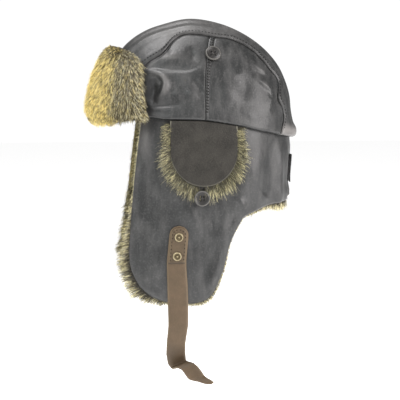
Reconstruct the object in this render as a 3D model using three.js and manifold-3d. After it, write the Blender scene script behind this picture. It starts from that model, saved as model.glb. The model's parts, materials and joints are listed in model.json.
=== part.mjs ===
// Aviator hat: a leather crown of five panels, ear flaps and nape in one hanging piece, a turned-up
// visor, and long-pile fur on the visor, inside the flaps and round the ear vents.
// Millimetres, +Z up. The brow plane is z = 0, the front faces -Y and the wearer's left is +X.

import * as THREE from "three";
import { mergeVertices } from "three/addons/utils/BufferGeometryUtils.js";
import Module from "manifold-3d";

// Driving dimensions: leather and the gaps between pieces
const LEATHER = 2;
const GAP = 0.35;
const SEAM_GAP = 0.7;
const LOCK_FLATNESS = 0.12;

// Crown: its panels follow a profile that shrinks towards the sides, round a line at this height
const HUB_HEIGHT = -60;
const CROWN_REACH = 92.5;
const CROWN_FULLNESS = 2.2;
const HEM_ROLL = 4;
const HEM_TUCK = 7.5;
const SEAM_ANGLE = 92.5;

// Centre line of the crown from the brow over the top to the nape, with half the strip's width there
const CROWN_PROFILE = [
  { y: -110, z: -12, seam: 58 },
  { y: -111, z: 14, seam: 58 },
  { y: -112, z: 40, seam: 58 },
  { y: -108, z: 70, seam: 58 },
  { y: -99, z: 93, seam: 58 },
  { y: -85, z: 107, seam: 58 },
  { y: -66, z: 118.5, seam: 57 },
  { y: -46, z: 125.5, seam: 53 },
  { y: -16, z: 132, seam: 47 },
  { y: 22, z: 126.5, seam: 45 },
  { y: 45, z: 117.5, seam: 42 },
  { y: 69, z: 102.5, seam: 42 },
  { y: 85, z: 87.5, seam: 44 },
  { y: 96, z: 72.5, seam: 46 },
  { y: 103, z: 57.5, seam: 47 },
  { y: 109, z: 38, seam: 49 },
  { y: 111, z: 20, seam: 52 },
  { y: 114, z: 5, seam: 56 },
  { y: 118.5, z: -5, seam: 59 },
  { y: 117.5, z: -14, seam: 60 },
  { y: 112, z: -26, seam: 60 },
];

// Lower edge of the crown, seen from the side
const HEM_LINE = [
  { y: -112, z: 12 },
  { y: -71, z: 11.5 },
  { y: -52, z: 9.5 },
  { y: -3, z: 8.5 },
  { y: 40, z: 1.5 },
  { y: 65, z: -5 },
  { y: 92, z: -10.5 },
  { y: 116, z: -15 },
];

// Soft folds in the crown's sides, from one point to the next seen from the side
const CROWN_FOLDS = [
  { y0: -74, z0: 69, y1: -38, z1: 71, wide: 5, high: 2 },
  { y0: -38, z0: 71, y1: -4, z1: 75, wide: 5, high: 1.5 },
  { y0: -74, z0: 65, y1: -54, z1: 60, wide: 5, high: 2.5 },
  { y0: -54, z0: 60, y1: -47, z1: 50, wide: 5, high: 3 },
  { y0: -47, z0: 50, y1: -54, z1: 34, wide: 5, high: 2.5 },
  { y0: -66, z0: 48, y1: -64, z1: 40, wide: 9, high: -3 },
  { y0: -74, z0: 26, y1: -36, z1: 27, wide: 5, high: -1.5 },
  { y0: 30, z0: 60, y1: 78, z1: 74, wide: 9, high: 1.5 },
  { y0: 40, z0: 36, y1: 92, z1: 44, wide: 9, high: -1.5 },
  { y0: 60, z0: 8, y1: 104, z1: 12, wide: 10, high: 2 },
];

// Lower edge of the ear flap and nape: the place under the hem where each fold line starts, as degrees
// round the hat from the middle of the back, and where it ends
const SKIRT_EDGE = [
  { turn: 0, y: 110.5, z: -96 },
  { turn: 12, y: 108, z: -96.5 },
  { turn: 24, y: 98, z: -98.5 },
  { turn: 39, y: 77, z: -101.5 },
  { turn: 55, y: 46, z: -111 },
  { turn: 63, y: 37, z: -121 },
  { turn: 70, y: 29.5, z: -136 },
  { turn: 77, y: 23.5, z: -152 },
  { turn: 84, y: 19, z: -170 },
  { turn: 91, y: 13, z: -187 },
  { turn: 97, y: 4.5, z: -201.5 },
  { turn: 104, y: -6, z: -208.5 },
  { turn: 112, y: -23, z: -210 },
  { turn: 120, y: -43, z: -208 },
  { turn: 127, y: -62, z: -202 },
  { turn: 133, y: -79, z: -191 },
  { turn: 138, y: -90, z: -174 },
  { turn: 141.5, y: -94.6, z: -157 },
];
const SKIRT_HALF_WIDTH = 80;
const SKIRT_BACK = 110.5;
const SKIRT_TUCK = 12;
const SKIRT_FUR_DEPTH = 7;
const SKIRT_FUR_SPILL = 5;

// How far the nape stands out or falls in below the crown's hem
const NAPE_CURVE = [
  { z: -160, out: 0 },
  { z: -96, out: 0 },
  { z: -84, out: 0 },
  { z: -70, out: -4.5 },
  { z: -41, out: 0 },
  { z: -28, out: 1.5 },
  { z: -17, out: 0 },
  { z: 0, out: 0 },
];

// Upright folds in the ear flap and nape, by the angle round the hat
const SKIRT_FOLDS = [
  { turn: 12, wide: 5, high: -2 },
  { turn: 27, wide: 4, high: 3 },
  { turn: 38, wide: 6, high: -2 },
  { turn: 62, wide: 7, high: 1.5 },
  { turn: 118, wide: 9, high: 1.5 },
  { turn: 134, wide: 5, high: -1.5 },
];

// Visor: the turned-up front flap
const VISOR_END_LOW = 45;
const VISOR_END_HIGH = 28;
const VISOR_TOP = 91;
const VISOR_LOW = -3;
const VISOR_GAP_LOW = 5;
const VISOR_GAP_HIGH = 1.6;
const VISOR_PILE_LOW = 26;
const VISOR_PILE_HIGH = 12;
const VISOR_SEAT = 0.95;

// Ear vent: a flap with upright sides and a half-round end
const VENT_Y = -3.7;
const VENT_HALF_WIDTH = 39;
const VENT_SIDE_Z = -28;
const VENT_END_Z = -70;
const VENT_PILE = 4;
const VENT_SPILL = 7;
const VENT_LOCK = 12;
const VENT_NOTCH = 13.5;
const VENT_SEAT = 0.9;

// Buttons, loop and studs
const BUTTON_RADIUS = 9.6;
const BUTTON_DEPTH = 3.4;
const BUTTON_FLOOR = 2.2;
const BUTTON_HOLE = 1.2;
const BUTTON_HOLE_PLACE = 2.6;
const BUTTON_LIFT = 4.4;
const CROWN_BUTTON = { angle: 93.3, x: 63 };
const VENT_BUTTON = { y: -6.3, z: -84 };
const LOOP_RADIUS = 4.4;
const LOOP_CORD = 2.2;
const LOOP_SEAT = 1.25;
const STUD_RADIUS = 5.3;

// Chin strap of the left side: its middle, and how its width swings up and turns away at each place
const STRAP_FALL = [
  { y: -33.9, z: -128.4, x: 0, half: 11.4, swing: 0, turn: 0 },
  { y: -35.1, z: -142, x: 0, half: 11.5, swing: 0, turn: 0 },
  { y: -36.7, z: -162, x: 0, half: 11.6, swing: 0, turn: 0 },
  { y: -35.6, z: -190, x: 0, half: 12.2, swing: 0, turn: 0 },
  { y: -35, z: -214, x: 83.5, half: 12.3, swing: 0, turn: 0 },
  { y: -34.8, z: -246, x: 83, half: 12, swing: 0, turn: 4 },
  { y: -37, z: -259, x: 82, half: 12, swing: 0, turn: 18 },
  { y: -37.4, z: -271, x: 82, half: 12, swing: 2, turn: 24 },
  { y: -34.5, z: -281.5, x: 85, half: 12, swing: 22, turn: 28 },
  { y: -26.5, z: -282.6, x: 92, half: 12, swing: 40, turn: 40 },
  { y: -19.5, z: -286.5, x: 97, half: 12, swing: 37, turn: 42 },
  { y: -13, z: -296, x: 99, half: 12, swing: 14, turn: 38 },
  { y: -4, z: -300, x: 105, half: 10, swing: 16, turn: 38 },
  { y: 3.5, z: -302, x: 111, half: 5, swing: 16, turn: 36 },
];
// The right strap below its second layer, as a mirror image. It hangs a little further back.
const RIGHT_STRAP_FALL = [
  { y: -33.5, z: -186, x: 0, half: 12.1, swing: 0, turn: 0 },
  { y: -28.5, z: -212, x: 83.5, half: 12.2, swing: 0, turn: 0 },
  { y: -24.5, z: -234, x: 83, half: 12, swing: 0, turn: 0 },
  { y: -23, z: -252, x: 82.5, half: 12, swing: 0, turn: 0 },
];
const RIGHT_STRAP_END = -262;
const STRAP_SEAT = 0.85;
const PATCH_END = -163;
const PATCH_THICKNESS = 1.5;
const PATCH_INSET = 1.6;
const STUD_HEIGHTS = { upper: -130.5, lower: -153.5 };

// Tab behind the nape
const TAB_HALF_WIDTH = 11;
const TAB_TOP = -38;
const TAB_BOTTOM = -72;
const TAB_DEPTH = 1.4;

const wasm = await Module();
wasm.setup();

const { lerp, clamp, degToRad } = THREE.MathUtils;
const vec = (x, y, z) => new THREE.Vector3(x, y, z);
const steps = (count) => Array.from({ length: count + 1 }, (_, i) => i / count);

// Reads one column of a table smoothly, between rows that are sorted by another column
function reader(rows, key, column) {
  const sorted = [...rows].sort((a, b) => a[key] - b[key]);
  const last = sorted.length - 1;
  const slope = (i) => {
    const before = sorted[Math.max(i - 1, 0)];
    const after = sorted[Math.min(i + 1, last)];
    return (after[column] - before[column]) / (after[key] - before[key]);
  };
  return (at) => {
    const place = clamp(at, sorted[0][key], sorted[last][key]);
    let i = 0;
    while (i < last - 1 && sorted[i + 1][key] < place) i += 1;
    const span = sorted[i + 1][key] - sorted[i][key];
    const t = (place - sorted[i][key]) / span;
    const rise = t * t * (3 - 2 * t);
    return (
      sorted[i][column] * (1 - rise) +
      sorted[i + 1][column] * rise +
      slope(i) * span * t * (1 - t) * (1 - t) -
      slope(i + 1) * span * t * t * (1 - t)
    );
  };
}

// The place between two values where a falling or rising function crosses nought
function crossing(low, high, f) {
  const sign = Math.sign(f(low));
  for (let i = 0; i < 30; i += 1) {
    const middle = (low + high) / 2;
    if (Math.sign(f(middle)) === sign) low = middle;
    else high = middle;
  }
  return (low + high) / 2;
}

function volumeOf(points, index) {
  let six = 0;
  for (let i = 0; i < index.length; i += 3) {
    const [a, b, c] = [points[index[i]], points[index[i + 1]], points[index[i + 2]]];
    six += a.dot(b.clone().cross(c));
  }
  return six / 6;
}

// A closed geometry from points and triangles, turned so that its faces point outwards
function closed(points, index) {
  if (volumeOf(points, index) < 0) index.reverse();
  const geometry = new THREE.BufferGeometry().setFromPoints(points);
  geometry.setIndex(index);
  return geometry;
}

// The solid between two grids of points, such as the outer and inner face of a wall
function between(outer, inner) {
  const rows = outer.length;
  const columns = outer[0].length;
  const points = [...outer.flat(), ...inner.flat()];
  const at = (i, j, face) => face * rows * columns + i * columns + j;
  const index = [];
  const quad = (a, b, c, d) => index.push(a, b, c, a, c, d);
  for (let i = 0; i < rows - 1; i += 1) {
    for (let j = 0; j < columns - 1; j += 1) {
      quad(at(i, j, 0), at(i + 1, j, 0), at(i + 1, j + 1, 0), at(i, j + 1, 0));
      quad(at(i, j, 1), at(i, j + 1, 1), at(i + 1, j + 1, 1), at(i + 1, j, 1));
    }
  }
  for (let i = 0; i < rows - 1; i += 1) {
    quad(at(i, 0, 0), at(i, 0, 1), at(i + 1, 0, 1), at(i + 1, 0, 0));
    const far = columns - 1;
    quad(at(i, far, 0), at(i + 1, far, 0), at(i + 1, far, 1), at(i, far, 1));
  }
  for (let j = 0; j < columns - 1; j += 1) {
    quad(at(0, j, 0), at(0, j + 1, 0), at(0, j + 1, 1), at(0, j, 1));
    const far = rows - 1;
    quad(at(far, j, 0), at(far, j, 1), at(far, j + 1, 1), at(far, j + 1, 0));
  }
  return closed(points, index);
}

// Normals of a grid of points, on the side away from the middle of the hat
function normalsOf(grid) {
  const rows = grid.length - 1;
  const columns = grid[0].length - 1;
  const normals = grid.map((row, i) =>
    row.map((_, j) => {
      const along = grid[Math.min(i + 1, rows)][j].clone().sub(grid[Math.max(i - 1, 0)][j]);
      const across = row[Math.min(j + 1, columns)].clone().sub(row[Math.max(j - 1, 0)]);
      return along.cross(across).normalize();
    }),
  );
  const i = Math.round(rows / 2);
  const j = Math.round(columns / 2);
  const outwards = normals[i][j].dot(grid[i][j].clone().sub(vec(0, 0, grid[i][j].z * 0.5)));
  if (outwards < 0) normals.flat().forEach((normal) => normal.negate());
  return normals;
}

// A grid moved along its normals, by one distance or by a distance for each point
function moved(grid, distance) {
  const normals = normalsOf(grid);
  const far = (i, j) => (typeof distance === "function" ? distance(i, j) : distance);
  return grid.map((row, i) =>
    row.map((point, j) => point.clone().addScaledVector(normals[i][j], far(i, j))),
  );
}

const wall = (outer, thickness) => between(outer, moved(outer, -thickness));

function toSolid(geometry) {
  const bare = geometry.clone();
  bare.deleteAttribute("normal");
  bare.deleteAttribute("uv");
  const merged = mergeVertices(bare, 1e-4);
  return new wasm.Manifold(
    new wasm.Mesh({
      numProp: 3,
      vertProperties: new Float32Array(merged.attributes.position.array),
      triVerts: new Uint32Array(merged.index.array),
    }),
  );
}

function fromSolid(solid) {
  const mesh = solid.getMesh();
  const geometry = new THREE.BufferGeometry();
  geometry.setAttribute("position", new THREE.BufferAttribute(mesh.vertProperties, 3));
  geometry.setIndex(new THREE.BufferAttribute(mesh.triVerts, 1));
  return geometry;
}

const fused = (geometries) =>
  fromSolid(geometries.map(toSolid).reduce((whole, piece) => whole.add(piece)));

// The same piece for the other side of the hat
function mirrored(geometry) {
  const points = [];
  const position = geometry.attributes.position;
  for (let i = 0; i < position.count; i += 1) {
    points.push(vec(-position.getX(i), position.getY(i), position.getZ(i)));
  }
  return closed(points, [...geometry.index.array]);
}

// A pointed lock of fur: a flat four-sided spike, from inside its backing to its tip
function lock(root, tip, width, outwards) {
  const along = tip.clone().sub(root).normalize();
  const side = along.clone().cross(outwards).normalize();
  const up = side.clone().cross(along);
  const middle = root.clone().lerp(tip, 0.4);
  const ring = [0, 1, 2, 3].map((k) =>
    middle
      .clone()
      .addScaledVector(side, (width / 2) * Math.cos((k * Math.PI) / 2))
      .addScaledVector(up, width * LOCK_FLATNESS * Math.sin((k * Math.PI) / 2)),
  );
  const index = ring.flatMap((_, k) => [k, (k + 1) % 4, 4, (k + 1) % 4, k, 5]);
  return closed([...ring, tip, root], index);
}

// Crown surface
const crownRows = CROWN_PROFILE.map(({ y, z, seam }) => ({
  angle: THREE.MathUtils.radToDeg(Math.atan2(z - HUB_HEIGHT, -y)),
  radius: Math.hypot(y, z - HUB_HEIGHT),
  seam,
}));
const profileRadius = reader(crownRows, "angle", "radius");
const seamAt = reader(crownRows, "angle", "seam");
const hemAt = reader(HEM_LINE, "y", "z");

function crownPoint(angle, x) {
  const share = Math.min(Math.abs(x) / CROWN_REACH, 0.9999);
  const shrink = Math.pow(1 - Math.pow(share, CROWN_FULLNESS), 1 / CROWN_FULLNESS);
  const radius = shrink * profileRadius(angle);
  const turn = degToRad(angle);
  return vec(x, -radius * Math.cos(turn), HUB_HEIGHT + radius * Math.sin(turn));
}

// Nought on the crown's surface, less inside it and more outside
function crownLevel(x, y, z) {
  const angle = THREE.MathUtils.radToDeg(Math.atan2(z - HUB_HEIGHT, -y));
  const share = Math.hypot(y, z - HUB_HEIGHT) / profileRadius(angle);
  const width = Math.abs(x) / CROWN_REACH;
  return Math.pow(share, CROWN_FULLNESS) + Math.pow(width, CROWN_FULLNESS) - 1;
}

// The crown's surface at a height, in a direction given as degrees from the middle of the back
function crownAround(turn, z) {
  const [across, back] = [Math.sin(degToRad(turn)), Math.cos(degToRad(turn))];
  const reach = crossing(20, 140, (r) => crownLevel(r * across, r * back, z));
  return vec(reach * across, reach * back, z);
}

function crownNormal(point) {
  const step = 0.5;
  const slope = (dx, dy, dz) =>
    crownLevel(point.x + dx, point.y + dy, point.z + dz) -
    crownLevel(point.x - dx, point.y - dy, point.z - dz);
  return vec(slope(step, 0, 0), slope(0, step, 0), slope(0, 0, step)).normalize();
}

// Height of the soft folds at a place on the crown
function crownFold(point) {
  let height = 0;
  const angle = THREE.MathUtils.radToDeg(Math.atan2(point.z - HUB_HEIGHT, -point.y));
  const beside = Math.abs(point.x) - seamAt(angle);
  const spread = THREE.MathUtils.smoothstep(beside, 1, 12);
  const middle = THREE.MathUtils.smoothstep(-beside, 2, 12);
  for (const { y0, z0, y1, z1, wide, high } of CROWN_FOLDS) {
    const length = (y1 - y0) ** 2 + (z1 - z0) ** 2;
    const along = ((point.y - y0) * (y1 - y0) + (point.z - z0) * (z1 - z0)) / length;
    const share = clamp(along, 0, 1);
    const distance = Math.hypot(
      point.y - lerp(y0, y1, share),
      point.z - lerp(z0, z1, share),
    );
    height += high * spread * Math.exp(-((distance / wide) ** 2));
  }
  const ridges = 1.1 * Math.cos((point.x / 16) * Math.PI) * middle;
  return height + ridges;
}

function foldedCrownPoint(angle, x) {
  const point = crownPoint(angle, x);
  return point.addScaledVector(crownNormal(point), crownFold(point));
}

// Turns the end of a row of points under: a quarter round, then flat towards the inside
function turnedUnder(points, normal) {
  const end = points[points.length - 1];
  const down = end.clone().sub(points[points.length - 2]).normalize();
  const roll = [30, 60, 90].map((degrees) => {
    const turn = degToRad(degrees);
    return end
      .clone()
      .addScaledVector(down, HEM_ROLL * Math.sin(turn))
      .addScaledVector(normal, -HEM_ROLL * (1 - Math.cos(turn)));
  });
  const tuck = roll[2].clone().addScaledVector(normal, HEM_ROLL - HEM_TUCK);
  return [...points, ...roll, tuck];
}

const levelNormal = (point) => {
  const normal = crownNormal(point);
  return vec(normal.x, normal.y, 0).normalize();
};

// A crown panel: its face, and its inner side moved in along the crown's own normals above the hem
function crownWall(grid) {
  const byGrid = moved(grid, -LEATHER);
  const inner = grid.map((row, i) =>
    row.map((point, j) =>
      aboveHem(point) > -0.1
        ? point.clone().addScaledVector(crownNormal(point), -LEATHER)
        : byGrid[i][j],
    ),
  );
  return between(grid, inner);
}

const aboveHem = (point) => point.z - hemAt(point.y) - HEM_ROLL;

// The angle at which a line along the strip meets the hem, at the front or at the back
function hemAngle(share, from, to) {
  return crossing(from, to, (angle) => aboveHem(crownPoint(angle, share * seamAt(angle))));
}

function crownStrip() {
  const lengthwise = 26;
  const across = 8;
  const grid = steps(across).map((step) => {
    const share = lerp(-1, 1, step);
    const front = hemAngle(share, 28, 70);
    const back = hemAngle(share, 165, 120);
    const line = steps(lengthwise).map((t) => {
      const angle = lerp(front, back, t);
      return foldedCrownPoint(angle, share * (seamAt(angle) - SEAM_GAP));
    });
    const backEnd = turnedUnder(line, levelNormal(line[lengthwise]));
    return turnedUnder(backEnd.reverse(), levelNormal(line[0]));
  });
  return crownWall(grid);
}

const hemReach = (angle) =>
  crossing(seamAt(angle) - 1, CROWN_REACH - 0.5, (x) => aboveHem(crownPoint(angle, x)));

// A side panel between the strip's seam and the hem, from one seam to the other
function crownSide(corner, seamStart, sideShift) {
  const columns = 10;
  const grid = steps(columns).map((step) => {
    const spread = Math.pow(step, 1.25);
    const top = lerp(seamStart, SEAM_ANGLE, spread);
    const low = lerp(corner, SEAM_ANGLE, spread);
    const reach = hemReach(low);
    const line = steps(6).map((t) => {
      const angle = lerp(top, low, t);
      return foldedCrownPoint(angle, lerp(seamAt(top), reach, t));
    });
    const end = turnedUnder(line, levelNormal(line[line.length - 1]));
    return end.map((point) => point.add(vec(0, sideShift * Math.pow(step, 8), 0)));
  });
  return crownWall(grid);
}

// Skirt surface: fold lines that start inside the hem and end at the lower edge
const skirtEdgeY = reader(SKIRT_EDGE, "turn", "y");
const skirtEdgeZ = reader(SKIRT_EDGE, "turn", "z");
const napeCurve = reader(NAPE_CURVE, "z", "out");

function skirtEdgeX(y) {
  if (y < 0) return SKIRT_HALF_WIDTH - 0.0005 * y * y;
  const share = Math.min(y / SKIRT_BACK, 1);
  return SKIRT_HALF_WIDTH * Math.pow(1 - Math.pow(share, 2.3), 1 / 2.3);
}

function hemPoint(turn) {
  let z = 0;
  let point;
  for (let i = 0; i < 8; i += 1) {
    point = crownAround(turn, z);
    z = hemAt(point.y);
  }
  point = crownAround(turn, z + HEM_ROLL);
  const normal = levelNormal(point);
  point.z = z;
  return point.addScaledVector(normal, -(HEM_TUCK + SEAM_GAP));
}

function skirtFold(turn, z) {
  const low = THREE.MathUtils.smoothstep(-z, 5, 50);
  return SKIRT_FOLDS.reduce(
    (sum, fold) => sum + fold.high * low * Math.exp(-(((turn - fold.turn) / fold.wide) ** 2)),
    0,
  );
}

// A point of the left half of the skirt's outer face: nought at the hem, one at the lower edge
function skirtPoint(turn, share) {
  const start = hemPoint(turn);
  const y = skirtEdgeY(turn);
  const end = vec(skirtEdgeX(y), y, skirtEdgeZ(turn));
  const point = start.clone().lerp(end, share);
  const outwards = vec(point.x, point.y * 0.6, 0).normalize();
  const back = clamp(Math.cos(degToRad(turn)) * 1.4, 0, 1);
  const swell = 3 * Math.sin(Math.PI * clamp(share, 0, 1)) * (1 - back);
  const out = napeCurve(point.z) * back + swell + skirtFold(turn, point.z);
  return point.addScaledVector(outwards, out);
}

// One turn of the skirt, from the tuck inside the crown to the lower edge
function skirtLine(turn, rows) {
  const side = Math.sign(turn) || 1;
  const line = steps(rows).map((share) => skirtPoint(Math.abs(turn), share));
  const tuck = line[0].clone().add(vec(0, 0, SKIRT_TUCK));
  tuck.addScaledVector(levelNormal(tuck), -2);
  const points = [tuck, ...line];
  return points.map((point) => point.setX(point.x * side));
}

const SKIRT_FRONT = SKIRT_EDGE[SKIRT_EDGE.length - 1].turn;

function skirtGrid(columns, rows) {
  return steps(columns).map((t) => skirtLine(lerp(-SKIRT_FRONT, SKIRT_FRONT, t), rows));
}

const SKIRT_COLUMNS = 36;
const SKIRT_ROWS = 6;
const skirtLeather = () => wall(skirtGrid(SKIRT_COLUMNS, SKIRT_ROWS), LEATHER);

// The place on the left flap's outer face that is seen at a point from the side
function skirtAt(y, z) {
  const shareOf = (turn) => {
    const start = hemPoint(turn);
    return (start.z - z) / (start.z - skirtEdgeZ(turn));
  };
  const turn = crossing(30, SKIRT_FRONT, (t) => skirtPoint(t, shareOf(t)).y - y);
  return skirtPoint(turn, shareOf(turn));
}

// Fur inside the skirt: a backing with shingled rows, and locks that hang past its edges
function skirtFur() {
  const past = (line, beyond) => {
    const [before, edge] = line.slice(-2);
    return [...line, edge.clone().sub(before).setLength(beyond).add(edge)];
  };
  const under = moved(skirtGrid(SKIRT_COLUMNS, SKIRT_ROWS), -(LEATHER + GAP));
  const lines = under.map((line) => past(line.slice(1), SKIRT_FUR_SPILL / 2));
  const rows = lines[0].map((_, j) => lines.map((line) => line[j]));
  const wider = rows.map((row) => {
    const oneEnd = past(row, SKIRT_FUR_SPILL).reverse();
    return past(oneEnd, SKIRT_FUR_SPILL).reverse();
  });
  const outer = wider[0].map((_, i) => wider.map((row) => row[i]));
  const inner = moved(outer, (i, j) => -(SKIRT_FUR_DEPTH - 3 * (j % 2)));
  const middle = outer.map((line, i) => line.map((point, j) => point.clone().lerp(inner[i][j], 0.5)));
  const locks = [];
  const addLock = (i, j, away, length) => {
    const out = outer[i][j].clone().sub(inner[i][j]).normalize();
    const root = middle[i][j].clone().addScaledVector(away, -6);
    const tip = middle[i][j].clone().addScaledVector(away, length);
    locks.push(lock(root, tip, 14, out));
  };
  const last = outer[0].length - 1;
  const end = outer.length - 1;
  for (let i = 2; i < end; i += 2) {
    const down = middle[i][last].clone().sub(middle[i][last - 1]).normalize();
    addLock(i, last, down, 4 + (i % 3));
  }
  for (const [i, beside] of [[0, 1], [end, end - 1]]) {
    for (let j = 1; j <= last; j += 1) {
      const away = middle[i][j].clone().sub(middle[beside][j]).normalize();
      addLock(i, j, away.add(vec(0, 0, -0.7)).normalize(), 6);
    }
  }
  return fused([between(outer, inner), ...locks]);
}

// Visor: the grid of the crown's front, with the distance of the visor's face from the crown
function visorPlace(across, up, spill) {
  const end = lerp(VISOR_END_LOW, VISOR_END_HIGH, up) + spill * 0.5;
  const low = VISOR_LOW + 11 * across * across - spill * 0.4;
  const top = VISOR_TOP - 12 * Math.abs(across) ** 3 + spill * 0.6;
  const z = lerp(low, top, up);
  const point = crownAround(180 - across * end, z);
  return { point, normal: crownNormal(point) };
}

const visorClear = (up) => lerp(VISOR_GAP_LOW, VISOR_GAP_HIGH, clamp(up, 0, 1));

function visorGrid(columns, rows, spill, offset) {
  return steps(columns).map((t) =>
    steps(rows).map((up) => {
      const across = lerp(-1, 1, t);
      const { point, normal } = visorPlace(across, up, spill);
      return point.addScaledVector(normal, offset(across, up));
    }),
  );
}

const visorLeather = () =>
  between(
    visorGrid(16, 4, 0, (across, up) => visorClear(up) + LEATHER),
    visorGrid(16, 4, 0, (across, up) => visorClear(up)),
  );

// Depth of the visor's fur: deepest low in the middle, thinner at the top and rounded off at its rim
function visorPile(across, up) {
  const deep = lerp(VISOR_PILE_LOW, VISOR_PILE_HIGH, Math.pow(up, 1.4)) * (1 - 0.3 * across * across);
  const rim = Math.min((1 - Math.abs(across)) / 0.12, up / 0.1, (1 - up) / 0.12, 1);
  return deep * lerp(0.45, 1, Math.sqrt(Math.max(rim, 0)));
}

function visorFur() {
  const spill = 6;
  const face = (across, up) => visorClear(up) + LEATHER + VISOR_SEAT;
  const backing = between(
    visorGrid(16, 5, spill, (across, up) => face(across, up) + visorPile(across, up)),
    visorGrid(16, 5, spill, face),
  );
  const locks = [];
  [0.14, 0.32, 0.5, 0.68, 0.86].forEach((up, row) => {
    const count = 7;
    steps(count).forEach((t, i) => {
      const across = clamp(lerp(-0.9, 0.9, t) + (row % 2 ? 0.05 : -0.05), -0.93, 0.93);
      const { point, normal } = visorPlace(across, up, spill);
      const depth = face(across, up) + visorPile(across, up);
      const root = point.clone().addScaledVector(normal, depth - 5);
      const tip = point.clone().addScaledVector(normal, depth + 5);
      const sweep = Math.sign(across) * 2;
      tip.add(vec(sweep, 0, -14 - 2 * (i % 3)));
      locks.push(lock(root, tip, 13, normal));
    });
  });
  return fused([backing, ...locks]);
}

// Ear vent, laid over the flap at a distance; fur spills past its outline, but not where the loop is
function ventGrid(columns, rows, distance, spill = 0) {
  return steps(columns).map((t) => {
    const across = Math.sin(lerp(-Math.PI / 2, Math.PI / 2, t));
    const y = VENT_Y + (VENT_HALF_WIDTH + spill) * across;
    const round = Math.sqrt(Math.max(1 - across * across, 0));
    const clear = 1 - Math.exp(-(((y - VENT_BUTTON.y) / VENT_NOTCH) ** 4));
    const low = VENT_SIDE_Z + (VENT_END_Z - spill * clear - VENT_SIDE_Z) * round;
    const top = hemAt(y) - GAP - 0.4;
    return steps(rows).map((down) => {
      const point = skirtAt(y, lerp(top, low, down));
      const outwards = vec(point.x, point.y * 0.3, 0).normalize();
      return point.addScaledVector(outwards, distance);
    });
  });
}

const ventLeather = () =>
  between(
    ventGrid(10, 4, VENT_SEAT + VENT_PILE + GAP + LEATHER),
    ventGrid(10, 4, VENT_SEAT + VENT_PILE + GAP),
  );

function ventFur() {
  const outer = ventGrid(10, 4, VENT_SEAT + VENT_PILE, VENT_SPILL);
  const inner = ventGrid(10, 4, VENT_SEAT, VENT_SPILL);
  const backing = between(outer, inner);
  const locks = [];
  const count = 17;
  for (let k = 0; k <= count; k += 1) {
    const t = k / count;
    // Upright sides first and last, the half round between them
    const side = t < 0.2 ? -1 : t > 0.8 ? 1 : 0;
    const turn = lerp(-90, 90, (t - 0.2) / 0.6);
    const across = side || Math.sin(degToRad(turn));
    const round = side ? 0 : Math.cos(degToRad(turn));
    if (!side && Math.abs(turn + 3) < 15) continue;
    const height = side < 0 ? lerp(-2, VENT_SIDE_Z, t / 0.2) : lerp(-8, VENT_SIDE_Z, (1 - t) / 0.2);
    const y = VENT_Y + (VENT_HALF_WIDTH + 2) * across;
    const z = side ? height : VENT_SIDE_Z + (VENT_END_Z - 2 - VENT_SIDE_Z) * round;
    const start = skirtAt(y, z);
    const reach = VENT_LOCK + (k % 2) * 2;
    const end = skirtAt(y + reach * across, z - reach * Math.max(round, 0.35));
    const outwards = vec(start.x, start.y * 0.3, 0).normalize();
    const root = start.addScaledVector(outwards, VENT_SEAT + VENT_PILE / 2);
    const tip = end.addScaledVector(outwards, VENT_SEAT + 2);
    locks.push(lock(root, tip, 10, outwards));
  }
  return fused([backing, ...locks]);
}

// A four-hole button with a raised rim, its back on the plane z = 0; a shank lifts it off its seat
function button(shank) {
  const neck = shank ? [[0, -shank], [BUTTON_HOLE_PLACE, -shank], [BUTTON_HOLE_PLACE, 0]] : [[0, 0]];
  const profile = [
    ...neck,
    [BUTTON_RADIUS - 1, 0],
    [BUTTON_RADIUS, 1.2],
    [BUTTON_RADIUS - 0.6, BUTTON_DEPTH],
    [BUTTON_RADIUS - 2, BUTTON_DEPTH],
    [BUTTON_RADIUS - 3, BUTTON_FLOOR + 0.2],
    [0, BUTTON_FLOOR],
  ].map(([x, y]) => new THREE.Vector2(x, y));
  let solid = toSolid(new THREE.LatheGeometry(profile, 14).rotateX(Math.PI / 2));
  // The holes go through a flat button and are blind above a shank
  const bottom = shank ? 1 : -1;
  for (const turn of [45, 135, 225, 315]) {
    const place = degToRad(turn);
    const deep = BUTTON_DEPTH + 1 - bottom;
    const hole = new THREE.CylinderGeometry(BUTTON_HOLE, BUTTON_HOLE, deep, 5).rotateX(Math.PI / 2);
    hole.translate(
      BUTTON_HOLE_PLACE * Math.cos(place),
      BUTTON_HOLE_PLACE * Math.sin(place),
      bottom + deep / 2,
    );
    solid = solid.subtract(toSolid(hole));
  }
  return fromSolid(solid);
}

// Puts a piece made round the Z axis at a point, facing outwards
function facing(geometry, point, outwards) {
  const turn = new THREE.Quaternion().setFromUnitVectors(vec(0, 0, 1), outwards);
  return geometry.applyQuaternion(turn).translate(point.x, point.y, point.z);
}

function crownButton() {
  const point = foldedCrownPoint(CROWN_BUTTON.angle, CROWN_BUTTON.x);
  const normal = crownNormal(point);
  return facing(button(0), point.addScaledVector(normal, 2 * GAP), normal);
}

function ventButton() {
  const seat = skirtAt(VENT_BUTTON.y, VENT_BUTTON.z);
  seat.x += GAP + BUTTON_LIFT;
  return facing(button(BUTTON_LIFT), seat, vec(1, 0, 0));
}

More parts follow.
